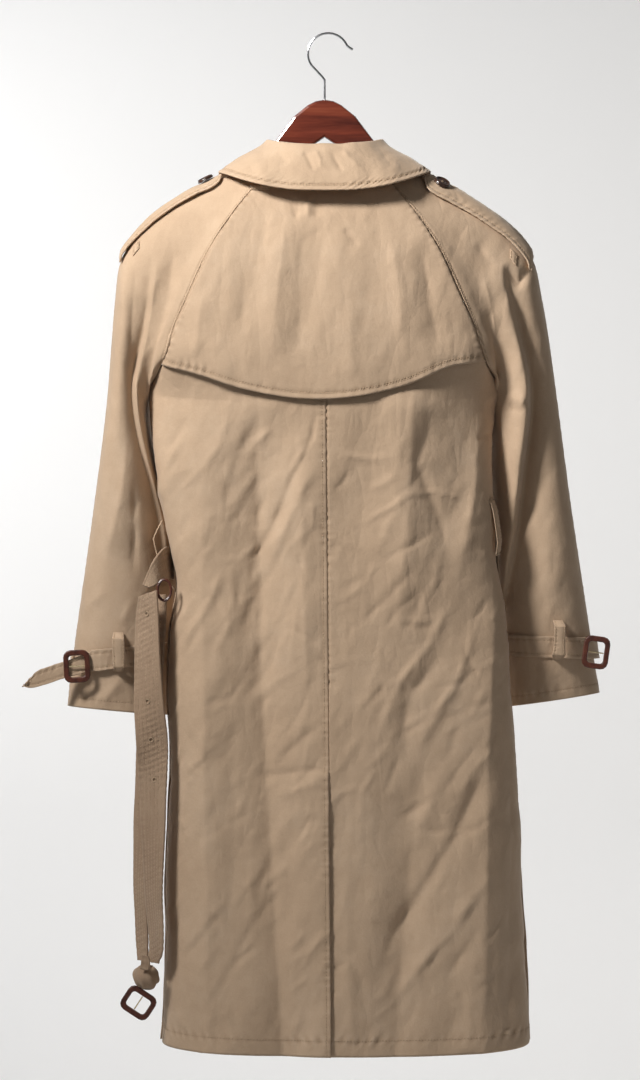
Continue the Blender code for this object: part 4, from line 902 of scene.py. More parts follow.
backCreases = (
    # left panel, from the top down
    crease(((-0.1145, -0.462), (-0.128, -0.514), (-0.171, -0.572)), 0.0065, 0.0028, lean=-0.4),
    crease(((-0.086, -0.48), (-0.108, -0.529), (-0.1195, -0.572), (-0.122, -0.6)), 0.006, -0.0028, lean=0.3),
    crease(((-0.017, -0.515), (-0.0395, -0.554), (-0.063, -0.612), (-0.086, -0.651), (-0.097, -0.698)), 0.008,
           -0.0046, lean=0.45, fade=(0.15, 0.3)),
    crease(((-0.004, -0.53), (-0.026, -0.566), (-0.048, -0.618), (-0.07, -0.668)), 0.012, 0.0036, lean=-0.3),
    crease(((-0.031, -0.668), (-0.057, -0.724), (-0.086, -0.771), (-0.11, -0.802)), 0.007, 0.003, lean=-0.4),
    crease(((-0.044, -0.69), (-0.068, -0.742), (-0.094, -0.786)), 0.0075, -0.0026),
    crease(((-0.071, -0.668), (-0.091, -0.708), (-0.106, -0.752)), 0.006, -0.0026, lean=0.3),
    crease(((-0.122, -0.655), (-0.137, -0.702), (-0.148, -0.724), (-0.1645, -0.748), (-0.178, -0.775)), 0.0065,
           0.0032, lean=-0.4),
    crease(((-0.138, -0.69), (-0.153, -0.716), (-0.17, -0.738)), 0.004, -0.0018),
    crease(((-0.15, -0.742), (-0.166, -0.764), (-0.18, -0.79)), 0.0042, -0.0018),
    crease(((-0.156, -0.7), (-0.17, -0.722)), 0.0035, 0.0014),
    crease(((-0.0595, -0.774), (-0.048, -0.752), (-0.0395, -0.738)), 0.004, 0.0016),
    crease(((-0.128, -0.872), (-0.15, -0.902), (-0.174, -0.927)), 0.006, 0.0026, lean=-0.3),
    crease(((-0.15, -0.906), (-0.166, -0.93)), 0.0035, -0.0016),
    crease(((-0.172, -0.905), (-0.152, -0.928)), 0.0035, 0.0013),
    crease(((-0.002, -0.856), (-0.043, -0.889), (-0.066, -0.916)), 0.0055, -0.0024, lean=0.3),
    crease(((-0.095, -0.926), (-0.04, -0.919), (0.005, -0.914)), 0.005, -0.003, fade=(0.35, 0.1)),
    crease(((-0.062, -0.95), (-0.03, -0.938), (-0.004, -0.929)), 0.009, 0.004, fade=(0.3, 0.15)),
    crease(((-0.012, -0.966), (-0.0395, -1.009), (-0.05, -1.03)), 0.007, -0.0036, fade=(0.2, 0.4)),
    crease(((-0.03, -0.955), (-0.058, -0.995), (-0.068, -1.03)), 0.009, 0.0022),
    crease(((-0.1175, -1.07), (-0.148, -1.112), (-0.173, -1.142)), 0.0055, 0.0022, lean=-0.3),
    crease(((-0.124, -1.122), (-0.14, -1.146), (-0.156, -1.172)), 0.005, 0.002, lean=-0.3),
    crease(((-0.128, -1.092), (-0.154, -1.128), (-0.176, -1.156)), 0.005, -0.0017),
    crease(((-0.07, -1.0), (-0.088, -1.06), (-0.092, -1.13)), 0.012, 0.0026),
    crease(((-0.03, -1.06), (-0.042, -1.15), (-0.038, -1.24)), 0.014, 0.0026),
    crease(((-0.16, -1.18), (-0.15, -1.262)), 0.009, -0.0022, fade=(0.4, 0.0)),
    # right panel, from the top down
    crease(((0.137, -0.466), (0.113, -0.537), (0.142, -0.606), (0.153, -0.668)), 0.011, -0.005),
    crease(((0.19, -0.478), (0.183, -0.577), (0.164, -0.682)), 0.013, 0.0052, lean=0.3),
    crease(((0.098, -0.47), (0.084, -0.56), (0.108, -0.64)), 0.011, 0.0026),
    crease(((0.153, -0.706), (0.1305, -0.759), (0.097, -0.799), (0.079, -0.838), (0.062, -0.888)), 0.0055, 0.0034,
           lean=0.3, fade=(0.2, 0.35)),
    crease(((0.153, -0.762), (0.108, -0.822), (0.097, -0.862), (0.108, -0.92)), 0.01, -0.0046),
    crease(((0.193, -0.718), (0.164, -0.804), (0.1305, -0.862), (0.108, -0.9)), 0.01, 0.0046, lean=-0.2),
    crease(((0.201, -0.905), (0.159, -1.003), (0.113, -1.077), (0.0855, -1.117), (0.068, -1.175)), 0.012, -0.006,
           lean=0.3, fade=(0.15, 0.25)),
    crease(((0.15, -0.905), (0.12, -0.98), (0.092, -1.04)), 0.016, 0.0034),
    crease(((0.205, -1.04), (0.153, -1.117), (0.113, -1.162), (0.082, -1.21)), 0.009, 0.0048, lean=-0.3),
    crease(((0.09, -1.155), (0.066, -1.206)), 0.006, 0.0024),
    crease(((0.017, -0.737), (0.03, -0.744), (0.0455, -0.754)), 0.003, 0.0013),
    crease(((0.034, -0.732), (0.028, -0.756)), 0.0028, -0.0011),
    crease(((0.088, -0.727), (0.112, -0.733), (0.139, -0.73)), 0.0035, 0.002),
    crease(((0.092, -0.736), (0.115, -0.742), (0.136, -0.738)), 0.0035, -0.0018),
    crease(((0.226, -0.56), (0.214, -0.7)), 0.012, -0.0035),
    crease(((0.228, -0.84), (0.232, -1.0), (0.228, -1.24)), 0.011, -0.0035, fade=(0.3, 0.0)),
    crease(((0.18, -1.12), (0.176, -1.262)), 0.013, 0.0032, fade=(0.5, 0.0)),
    crease(((0.03, -0.99), (0.026, -1.1), (0.034, -1.25)), 0.011, 0.0024, fade=(0.3, 0.0)),
)


# short pressed wrinkles between the folds: angle and length vary about the named ones
smallWrinkles = {
    "left": {"x": (-0.195, 0.0), "z": (-1.24, -0.5), "count": 78, "angle": 56, "turn": 15,
             "length": (0.035, 0.12)},
    "right": {"x": (0.01, 0.24), "z": (-1.24, -0.5), "count": 64, "angle": 52, "turn": 22,
              "length": (0.03, 0.11)},
    "crossed": {"x": (-0.19, 0.235), "z": (-1.24, -0.55), "count": 40, "angle": 118, "turn": 20,
                "length": (0.02, 0.07)},
}


wrinkleSize = {"height": (0.0007, 0.0019), "width": (0.0026, 0.0054), "raisedShare": 0.55, "bend": 0.08}


def scatterWrinkles(facts, seed):
    chance = np.random.default_rng(seed)
    made = []
    for _ in range(facts["count"]):
        x, z = chance.uniform(*facts["x"]), chance.uniform(*facts["z"])
        angle = radians(facts["angle"] + chance.normal() * facts["turn"])
        length = chance.uniform(*facts["length"])
        dx, dz = cos(angle) * length / 2, sin(angle) * length / 2
        bend = chance.normal() * wrinkleSize["bend"] * length
        line = ((x - dx, z - dz), (x - bend * sin(angle), z + bend * cos(angle)), (x + dx, z + dz))
        height = chance.uniform(*wrinkleSize["height"])
        height *= 1 if chance.random() < wrinkleSize["raisedShare"] else -1
        made.append(crease(line, chance.uniform(*wrinkleSize["width"]), height))
    return tuple(made)


backWrinkles = sum((scatterWrinkles(smallWrinkles[part], 5 + k) for k, part in enumerate(smallWrinkles)), ())


def backRelief(points):
    x, z = points[..., 0], points[..., 2]
    height = creaseRelief(x, z, broadFolds) + 0.8 * creaseRelief(x, z, backCreases)
    height += creaseRelief(x, z, backWrinkles)
    height += 0.0022 * slantNoise(x, z, 0.05, 2.6, 74, 3) + 0.0009 * slantNoise(x, z, 0.022, 2.4, 60, 8)
    height += 0.0005 * slantNoise(x, z, 0.009, 2.8, 57, 11) * smooth(-0.2, 0.5, softNoise(x / 0.06, z / 0.06, 14))
    return height * smooth(-0.428, -0.476, z)


def addBackPanels():
    level = np.concatenate([np.linspace(0, 0.96, 40)[:-1], evenly(235, 0.1, 0.96, 2.0)])[:, None]
    z = middleOf(back, level)[1]
    seamX = centreSeamX(z)
    below = smooth(coatForm["ventTopZ"] + 0.001, coatForm["ventTopZ"] - 0.004, z)
    # left panel
    ventX = np.where(z < coatForm["ventTopZ"], 0.0056 + 0.0024 * smooth(-0.92, -1.27, z), seamX)
    edge = acrossAt(back, level, ventX)
    points = bodyPoint(back, -1 + (edge + 1) * evenly(92, 0.35), level)
    points[..., 1] -= 0.0014 * below * smooth(-0.05, 0.0, points[..., 0])
    piece = {
        "thickness": clothWall,
        "seams": (
            seam("last", 0.0006, 0.006, stitch=(0.0058,), depth=0.0007, pucker=0.0005, wave=0.01),
            seam("bottom", 0.02, depth=0.0005, pucker=0.0007, wave=0.013, slant=260),
            seam("first", 0.0006, stitched=False, depth=0.001, pucker=0.0004, wave=0.012),
        ),
        "cut": cuts["backPanel"][left],
    }
    makeCloth("cloth_back_left", points, bodyOutward(back, points[..., 0]), piece, backRelief(points))
    # right panel: its vent edge runs on behind the left one
    strip = evenly(14)
    startX = seamX - coatForm["ventLap"] * smooth(coatForm["ventTopZ"] - 0.002, coatForm["ventTopZ"] - 0.008, z)
    farX = seamX + 0.0115
    nearAcross, farAcross = acrossAt(back, level, startX), acrossAt(back, level, farX)
    across = np.concatenate([nearAcross + (farAcross - nearAcross) * strip,
                             farAcross + (1 - farAcross) * evenly(88, 0.3)[1:]], 1)
    points = bodyPoint(back, across, level)
    lowered = smooth(coatForm["ventTopZ"] + 0.001, coatForm["ventTopZ"] - 0.07, z)
    points[..., 1] += 0.0036 * lowered * (1 - smooth(0.006, 0.056, points[..., 0] - centreSeamX(z)))
    piece = {
        "thickness": clothWall,
        "seams": (
            seam("first", 0.0006, stitched=False, depth=0.0008, pucker=0.0004, part=(0.0, 0.55)),
            seam("bottom", 0.02, depth=0.0005, pucker=0.0007, wave=0.013, slant=-260),
            seam("last", 0.0006, stitched=False, depth=0.001, pucker=0.0004, wave=0.012),
        ),
        "cut": cuts["backPanel"][right],
    }
    makeCloth("cloth_back_right", points, bodyOutward(back, points[..., 0]), piece, backRelief(points))


# the fronts: plain, with soft folds of the same kind as the back's
frontCreases = (
    crease(((-0.15, -0.6), (-0.165, -1.29)), 0.04, 0.006, fade=(0.35, 0.0)),
    crease(((0.15, -0.6), (0.17, -1.29)), 0.04, 0.006, fade=(0.35, 0.0)),
    crease(((-0.08, -0.52), (-0.12, -0.64), (-0.15, -0.7)), 0.012, -0.0035),
    crease(((0.11, -0.5), (0.15, -0.6), (0.17, -0.69)), 0.013, -0.0035),
    crease(((0.06, -0.7), (0.11, -0.79), (0.14, -0.86)), 0.01, 0.0032),
    crease(((-0.04, -0.8), (-0.1, -0.9), (-0.11, -1.0)), 0.012, 0.0032),
    crease(((0.03, -0.96), (0.05, -1.1), (0.06, -1.27)), 0.018, -0.0035, fade=(0.4, 0.0)),
    crease(((-0.06, -1.02), (-0.08, -1.14), (-0.078, -1.27)), 0.016, -0.003, fade=(0.4, 0.0)),
)


def frontRelief(points):
    x, z = points[..., 0], points[..., 2]
    height = creaseRelief(x, z, frontCreases) + 0.002 * slantNoise(x, z, 0.05, 2.6, 105, 23)
    return (height + 0.0007 * slantNoise(x, z, 0.018, 2.4, 115, 28)) * smooth(-0.4, -0.5, z)


def rollX(z):
    part = np.clip((z - coatForm["breakZ"]) / (-0.185 - coatForm["breakZ"]), 0.0, 1.0)
    return coatForm["lapX"] + part * (-0.046 - coatForm["lapX"])


def addFronts():
    level = np.concatenate([np.linspace(0, 1, 60)[:-1], evenly(140, 0.1, 1.0, 2.0)])[:, None]

    def past(side, across):
        point = bodyPoint(front, across, level)
        return side * point[..., 0] + rollX(point[..., 2])

    for side, name in ((left, "left"), (right, "right")):
        edge = solveFor(lambda across: past(side, across), np.full(level.shape, -1.0), np.full(level.shape, 1.0))
        points = bodyPoint(front, side + (edge - side) * evenly(64, 0.3), level)
        if side == left:
            points[..., 1] += 0.003 * smooth(-0.19, -0.11, points[..., 0])
        # flat where the fronts lap
        x, plain = points[..., 0], frontRelief(points)
        sunk, raised = np.minimum(plain, 0.0), np.maximum(plain, 0.0)
        if side == right:
            plain = sunk * smooth(-0.02, 0.03, x) + raised * smooth(0.1, 0.14, x)
        else:
            plain = raised + sunk * smooth(-0.1, -0.14, x)
        piece = {
            "thickness": clothWall,
            "seams": (
                seam("last", 0.006, depth=0.0005),
                seam("bottom", 0.02, depth=0.0005, pucker=0.0006, wave=0.013),
            ),
            "cut": cuts["front"][side],
        }
        makeCloth("cloth_front_" + name, points, bodyOutward(front, x), piece, plain)


# the storm shield: sewn in at the neck and the raglan seams, loose along its curved hem
shieldEdge = ((-0.2005, -0.1505, -0.098, -0.0365, 0.023, 0.0995, 0.157, 0.2),
              (-0.414, -0.4275, -0.445, -0.457, -0.457, -0.44, -0.416, -0.41))
shieldCreases = (
    crease(((-0.071, -0.209), (-0.092, -0.3), (-0.107, -0.394)), 0.016, -0.0024),
    crease(((-0.006, -0.227), (-0.022, -0.32), (-0.037, -0.416)), 0.018, -0.0026),
    crease(((-0.045, -0.215), (-0.058, -0.32), (-0.066, -0.42)), 0.018, 0.0026),
    crease(((0.024, -0.246), (0.034, -0.26), (0.044, -0.272)), 0.005, -0.0016),
    crease(((0.117, -0.262), (0.13, -0.33), (0.142, -0.406)), 0.014, -0.003),
    crease(((0.08, -0.24), (0.092, -0.33), (0.098, -0.42)), 0.022, 0.003),
    crease(((-0.038, -0.205), (-0.034, -0.24)), 0.005, -0.0018),
    crease(((-0.022, -0.203), (-0.02, -0.236)), 0.0045, 0.0016),
    crease(((-0.01, -0.204), (-0.01, -0.236)), 0.0045, -0.0016),
    crease(((-0.15, -0.32), (-0.16, -0.415)), 0.014, 0.0024),
    crease(((0.03, -0.33), (0.034, -0.45)), 0.016, 0.0018),
)


def addShield():
    spread = evenly(148, 0.25, -0.985, 0.985)
    low = solveFor(lambda level: bodyPoint(back, spread, level)[..., 2]
                   - throughValues(shieldEdge[0], shieldEdge[1], bodyPoint(back, spread, level)[..., 0]),
                   np.full(spread.shape, 0.3), np.full(spread.shape, 1.1))
    down = evenly(104, 0.2)[:, None]
    level = 0.035 + (low - 0.035) * down
    across = np.broadcast_to(spread, level.shape)
    middle = 1 - across * across
    lift = 0.0018 + 0.0058 * down**2 * middle**0.5 + 0.0014 * middle * down
    points = bodyLifted(back, across, level, lift)
    x, z = points[..., 0], points[..., 2]
    wave = 0.0011 * np.sin(x / 0.021 + 1.4 * softNoise(x / 0.04, 0 * x, 41)) * down**5
    height = 1.4 * creaseRelief(x, z, shieldCreases) * smooth(0.0, 0.14, down) + wave
    height += 0.0014 * slantNoise(x, z, 0.05, 2.0, 85, 17) * smooth(0.05, 0.3, down)
    height += 0.00035 * slantNoise(x, z, 0.011, 2.0, 80, 19)
    height = np.maximum(height, -0.0013 - 0.004 * down**2 * middle**0.5)
    piece = {
        "thickness": clothWall,
        "seams": (
            seam("bottom", 0.007, 0.009, depth=0.0006, pucker=0.0006, wave=0.0105, slant=300, band=0.0062,
                 lip=0.0003),
            seam("first", 0.0006, stitched=False, depth=0.0008, pucker=0.0005, wave=0.011),
            seam("last", 0.0006, stitched=False, depth=0.0008, pucker=0.0006, wave=0.01),
        ),
        "nodes": ("storm_shield",),
        "cut": cuts["shield"],
    }
    makeCloth("cloth_storm_shield", points, bodyOutward(back, across), piece, height)


# sleeves: a back and a front half each, from the raglan seam to the cuff
def addSleeves():
    u = np.concatenate([evenly(64, 0.0, 0, 5)[:-1], evenly(64, 0.0, 5, 9)[:-1], evenly(60, 0.0, 9, 12)])[:, None]
    for side, name in ((left, "left"), (right, "right")):
        middle = sleeveMiddle(side, u)
        for half, label in ((0, "back"), (1, "front")):
            v = evenly(72, 0.15) if half == 0 else 2 - evenly(48, 0.15)
            points = sleevePoint(side, u, np.broadcast_to(v, (1, len(v))))
            pressed = {"stitch": (0.0022, 0.0085), "width": 0.0012, "wave": 0.0088, "slant": 330, "band": 0.0075}
            ladder = (seam("top", 0.0006, 0.0085, depth=0.0006, pucker=0.00035, **pressed) if side == left
                      else seam("top", 0.001, 0.0085, depth=0.0005, pucker=0.00075, **pressed))
            height = np.zeros(points.shape[:2])
            if half == 1:
                x, z = points[..., 0], points[..., 2]
                height = 0.0022 * slantNoise(x, z, 0.035, 2.4, 80, 51) + 0.0006 * slantNoise(x, z, 0.014, 2.0, 60, 53)
                height *= smooth(0.3, 2.5, u) * np.sin(pi * np.clip(2 - v, 0, 1))[None, :] ** 0.5
            piece = {
                "thickness": clothWall,
                "seams": (
                    ladder,
                    seam("last", 0.0006, stitched=False, depth=0.0006, pucker=0.0003),
                    seam("bottom", 0.012, depth=0.0004, pucker=0.0005, wave=0.011),
                ),
                "nodes": (f"sleeve_{label}_{name}",),
                "cut": cuts["sleeve"][label],
            }
            makeCloth(f"cloth_sleeve_{label}_{name}", points, points - middle, piece, height)


# collar: the fall over the stand, from one front point round the neck to the other
collarLine = {
    "at": (0.0, 0.25, 0.45, 0.6, 0.72, 0.84, 1.0),
    "rollX": (0.0, 0.036, 0.06, 0.0725, 0.072, 0.064, 0.05),
    "rollY": (-0.052, -0.048, -0.03, -0.004, 0.014, 0.038, 0.06),
    "rollZ": (-0.143, -0.1415, -0.138, -0.1345, -0.139, -0.156, -0.185),
    "edgeX": (0.0, 0.048, 0.092, 0.128, 0.131, 0.135, 0.122),
    "edgeY": (-0.086, -0.084, -0.072, -0.026, 0.012, 0.058, 0.094),
    "edgeZ": (-0.2006, -0.1985, -0.189, -0.1745, -0.1745, -0.2, -0.264),
    "seamX": (0.0, 0.034, 0.061, 0.0785, 0.073, 0.056, 0.044),
    "seamY": (-0.04, -0.036, -0.025, -0.003, 0.014, 0.036, 0.056),
    "seamZ": (-0.174, -0.17, -0.16, -0.15, -0.155, -0.164, -0.188),
}
collarCreases = (
    crease(((-0.026, -0.148), (-0.018, -0.165), (-0.012, -0.178)), 0.0042, -0.0016),
    crease(((-0.014, -0.146), (-0.006, -0.162), (-0.004, -0.176)), 0.0045, 0.0016),
    crease(((0.006, -0.147), (0.014, -0.163), (0.024, -0.18)), 0.0042, -0.0015),
    crease(((0.02, -0.146), (0.03, -0.16), (0.046, -0.172)), 0.0048, 0.0015),
    crease(((0.036, -0.15), (0.052, -0.164)), 0.004, -0.0012),
    crease(((-0.06, -0.15), (-0.044, -0.168)), 0.007, -0.0012),
    crease(((-0.09, -0.16), (-0.074, -0.18)), 0.009, 0.0012),
    crease(((0.07, -0.15), (0.086, -0.174)), 0.008, -0.0012),
)


def collarPoint(names, place):
    at, side = np.abs(place), np.where(place < 0, -1.0, 1.0)
    x, y, z = (fromTable(collarLine, "at", names + axis, at) for axis in "XYZ")
    return np.stack([side * x, y, z], -1)


def addCollar():
    place = evenly(230, 0.0, -1.0, 1.0)
    roll, edge, neckSeam = (collarPoint(name, place) for name in ("roll", "edge", "seam"))
    out = unit((edge - roll) * np.array([1.0, 1.0, 0.0]))
    up = np.array([0.0, 0.0, 1.0])
    lines = np.stack([roll + up * 0.0024, roll + out * 0.0062 - up * 0.0036, (roll + edge) / 2 + out * 0.0055,
                      edge + out * 0.0018])
    points = throughValues((0.0, 0.12, 0.55, 1.0), lines.reshape(4, -1), evenly(46, 0.1)).reshape(46, len(place), 3)
    x, z = points[..., 0], points[..., 2]
    share = np.linspace(0, 1, 46)[:, None]
    wave = 0.001 * softNoise(x / 0.018, 0 * x, 61) * (1 - share) ** 3
    height = (creaseRelief(x, z, collarCreases) * np.where(points[..., 1] < 0.0, 1.0, 0.0) + wave
              + 0.0006 * slantNoise(x, z, 0.014, 2.2, 100, 63) * np.sin(pi * share) ** 0.5)
    piece = {
        "thickness": collarWall,
        "seams": (
            seam("bottom", 0.0065, 0.0085, depth=0.0006, pucker=0.0006, wave=0.01, slant=320, band=0.006,
                 lip=0.0003),
            *seamsAt(("first", "last"), 0.0065, pucker=0.0003),
        ),
        "cut": cuts["collarFall"],
    }
    outward = np.broadcast_to(out + up * 0.4, points.shape)
    makeCloth("cloth_collar_fall", points, outward, piece, height)
    under = roll - up * 0.0035 - out * 0.0005
    lines = np.stack([under, (under + neckSeam) / 2, neckSeam])
    points = throughValues((0.0, 0.5, 1.0), lines.reshape(3, -1), np.linspace(0, 1, 14)).reshape(14, len(place), 3)
    piece = {"thickness": collarWall, "seams": (seam("bottom", 0.003, pucker=0.0002),),
             "cut": cuts["collarStand"]}
    makeCloth("cloth_collar_stand", points + np.broadcast_to(out, points.shape) * 0.0018,
              np.broadcast_to(out, points.shape), piece,
              0.0003 * softNoise(points[..., 0] / 0.02, points[..., 2] / 0.02, 66))
    x = np.linspace(-0.094, -0.068, 30)
    across, level = bodyAt(back, x, np.full(30, -0.1975))
    middle = bodyLifted(back, across, level, 0.0046)
    points = np.stack([middle + up * h for h in np.linspace(0.003, -0.003, 7)])
    bulge = 0.0008 * np.sin(pi * np.linspace(0, 1, 30))[None, :]
    bulge = bulge - 0.0004 * np.abs(np.linspace(-1, 1, 7))[:, None] ** 2
    piece = {"thickness": clothWall, "cut": cuts["collarLoop"],
             "seams": seamsAt(("top", "bottom"), 0.0012, pucker=0.0001, wave=0.006)}
    makeCloth("cloth_collar_loop", points, towardBack(points), piece,
              np.broadcast_to(bulge, points.shape[:2]))


lapelWidths = ((0.0, 0.14, 0.3, 0.55, 0.8, 1.0), (0.03, 0.062, 0.098, 0.07, 0.032, 0.004))


def addLapels():
    for side, name, last in ((left, "left", 1.0), (right, "right", 0.36)):
        down = np.linspace(0.1, last, 90)[:, None]
        z = -0.185 + down * (coatForm["breakZ"] + 0.185)
        reach = throughValues(*lapelWidths, down) * np.linspace(0, 1, 30)
        x = side * (-rollX(z)) + side * (0.003 + reach * 0.88)
        across, level = bodyAt(front, x, z + reach * 0.3)
        points = bodyLifted(front, across, level, 0.006 + 0.0024 * np.sin(pi * np.linspace(0, 1, 30)))
        relief = 0.0007 * slantNoise(points[..., 0], points[..., 2], 0.024, 2.0, 100, 71)
        piece = {"thickness": clothWall, "cut": cuts["lapel"][side],
                 "seams": (seam("last", 0.0065, pucker=0.0004),
                           seam("top", 0.0065, pucker=0.0003))}
        makeCloth("cloth_lapel_" + name, points, bodyOutward(front, across), piece, relief)


# shoulder straps, their loops and their buttons
epaulettes = {
    "slip": {left: -0.01, right: -0.024},
    "width": 0.045,
    "lift": 0.003,
    "crown": 0.001,
    "stops": ((1.42, 1.55, 1.8, 2.2, 2.8, 3.4, 4.1, 4.9), (0.12, 0.66, 1.0, 1.0, 1.0, 1.0, 1.0, 1.0)),
    "from": 1.42,
    "to": 4.9,
    "buttonU": 1.9,
    "loopU": (4.0, 4.25),
    "loopPast": -0.0275,
    "loopReach": 0.014,
}
button = {"radius": 0.0105, "rim": 0.0013, "hole": 0.00095, "holeOut": 0.0021}


def addButton(name, node, position, normal, turn):
    radii = np.concatenate([np.linspace(0, 0.0048, 26), np.linspace(0.005, button["radius"], 16)])
    angles = np.linspace(0, 2 * pi, 72, endpoint=False)
    r, a = np.meshgrid(radii, angles, indexing="ij")
    share = r / button["radius"]
    height = 0.0023 + button["rim"] * bell(share - 0.86, 0.1) - 0.0004 * bell(share - 0.62, 0.08)
    height -= 0.0024 * smooth(0.93, 1.0, share)
    for k in range(4):
        away = np.hypot(r * np.cos(a) - button["holeOut"] * cos(pi / 4 + k * pi / 2),
                        r * np.sin(a) - button["holeOut"] * sin(pi / 4 + k * pi / 2))
        height -= 0.0018 * smooth(button["hole"] * 1.25, button["hole"] * 0.75, away)
    x, y = r * np.cos(a), r * np.sin(a)
    rows = [np.stack([x[k], y[k], height[k]], -1) for k in range(len(radii))]
    for s, h in ((0.985, 0.0008), (0.9, 0.0003), (0.5, 0.0001), (0.0, 0.0001)):
        rows.append(np.stack([x[-1] * s, y[-1] * s, 0 * x[-1] + h], -1))
    vertices = np.concatenate(rows)
    count, steps = len(rows), len(angles)
    faces = [(i * steps + j, (i + 1) * steps + j, (i + 1) * steps + (j + 1) % steps, i * steps + (j + 1) % steps)
             for i in range(count - 1) for j in range(steps)]
    bars, barFaces = [], []
    for k in range(2):
        angle = pi / 4 + k * pi / 2
        for s in range(-1, 2):
            sideways = np.array([-sin(angle), cos(angle), 0.0]) * 0.0003 * s
            base = len(vertices) + len(bars) * 10
            ends = [np.array([cos(angle), sin(angle), 0]) * button["holeOut"] * e for e in (-1, -0.55, 0.55, 1)]
            w = 0.00022
            spots = [ends[0] + sideways + [0, 0, 0.0014]]
            for e in ends[1:3]:
                c = e + sideways + np.array([0, 0, 0.0027 + 0.0003 * k])
                n = np.array([-sin(angle), cos(angle), 0.0]) * w
                spots += [c + n, c + [0, 0, w], c - n, c - [0, 0, w]]
            spots.append(ends[3] + sideways + [0, 0, 0.0014])
            bars.append(np.array(spots))
            barFaces += [tuple(base + i for i in face) for face in spindleFaces]
    vertices = np.concatenate([vertices] + bars)
    zAxis = Vector(normal).normalized()
    xAxis = Vector((0, 0, 1)).cross(zAxis).normalized()
    yAxis = zAxis.cross(xAxis)
    matrix = np.array(Matrix((xAxis, yAxis, zAxis)).transposed()) @ np.array(Matrix.Rotation(radians(turn), 3, "Z"))
    made = addPiece(name, vertices @ matrix.T + np.array(position), faces + barFaces, len(faces), "button_horn")
    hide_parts(node)


def addEpaulettes():
    e = epaulettes
    for side, name in ((left, "left"), (right, "right")):
        u = np.linspace(e["from"], e["to"], 130)
        middle = placeAround(side, u, 1.0, e["slip"][side])
        share = throughValues(*e["stops"], u)
        t = evenly(40, 0.25, -1.0, 1.0)
        v = np.stack([placeAround(side, u, middle, 0.5 * e["width"] * share * step) for step in t], 1)
        crown = e["lift"] + e["crown"] * (1 - t**2) + 0.002
        points = sleeveLifted(side, u[:, None], v, crown[None, :])
        along = (u[:, None] - e["from"]) / (e["to"] - e["from"])
        relief = 0.0007 * slantNoise(points[..., 0], points[..., 2], 0.016, 2.0, 20 * side, 81)
        relief = relief + 0.001 * np.sin(along * 9 + side) * t[None, :] ** 2 - 0.0022 * smooth(0.95, 1.0, along)
        piece = {
            "thickness": strapWall,
            "seams": (
                *seamsAt(("first", "last"), 0.0055, depth=0.0008, pucker=0.0004, lip=0.0006),
                seam("bottom", 0.006, stitched=False, depth=0.0004, pucker=0.0002),
            ),
            "cut": cuts["epaulette"],
        }
        outward = np.broadcast_to(np.array([side * 0.5, -0.2, 1.0]), points.shape)
        makeCloth("cloth_epaulette_" + name, points, outward, piece, relief)
        at = np.array([e["buttonU"]])
        v = placeAround(side, at, 1.0, e["slip"][side])
        lift = e["lift"] + e["crown"] + 0.0028
        base = sleeveLifted(side, at, v, lift)[0]
        flat = sleeveLifted(side, at, v, 0.0)[0]
        addButton("detail_epaulette_button_" + name, "epaulette_button_" + name, base, base - flat, 20 * side)
        u = np.linspace(*e["loopU"], 12)
        middle = placeAround(side, u, 1.0, e["slip"][side])
        away = [e["loopPast"] - e["loopReach"] * s for s in np.linspace(0, 1, 16)]
        v = np.stack([placeAround(side, u, middle, reach) for reach in away], 1)
        points = sleeveLifted(side, u[:, None], v, 0.0017)
        piece = {"thickness": clothWall, "cut": cuts["epauletteLoop"],
                 "seams": seamsAt(("top", "bottom"), 0.0015, pucker=0.0001, wave=0.006)}
        makeCloth("cloth_epaulette_loop_" + name, points, outward[:12, :16], piece)


frontButtons = {"x": (-0.07, 0.07), "z": (-0.475, -0.6, -0.76), "lift": 0.0048}


def addFrontButtons():
    for column, x in enumerate(frontButtons["x"]):
        for row, z in enumerate(frontButtons["z"]):
            across, level = bodyAt(front, np.array([x]), np.array([z]))
            base = bodyLifted(front, across, level, frontButtons["lift"])[0]
            normal = base - bodyLifted(front, across, level, 0.0)[0]
            label = f"front_button_{row + 1}{'ab'[column]}"
            addButton("detail_" + label, label, base, normal, 15 * (row + column))


# cuffs: a strap round each sleeve, the loop that holds it, its buckle and prong
cuffs = {
    left: {"start": 0.9, "end": 2.7, "zInner": -0.772, "zOuter": -0.785, "loopX": -0.2575, "loopZ": -0.7715},
    right: {"start": 1.0, "end": 3.2, "zInner": -0.7635, "zOuter": -0.768, "loopX": 0.2915, "loopZ": -0.7565},
}
cuffStrapWidth = 0.027
# the loose end of the left strap: how far along, then its place and half its width
cuffTongue = {"at": (0, 0.02, 0.045, 0.065, 0.074), "rows": 34, "halfWidth": 0.013,
              "line": ((-0.322, -0.793, 0.0115), (-0.346, -0.801, 0.0115), (-0.366, -0.808, 0.0085),
                       (-0.3745, -0.813, 0.001))}


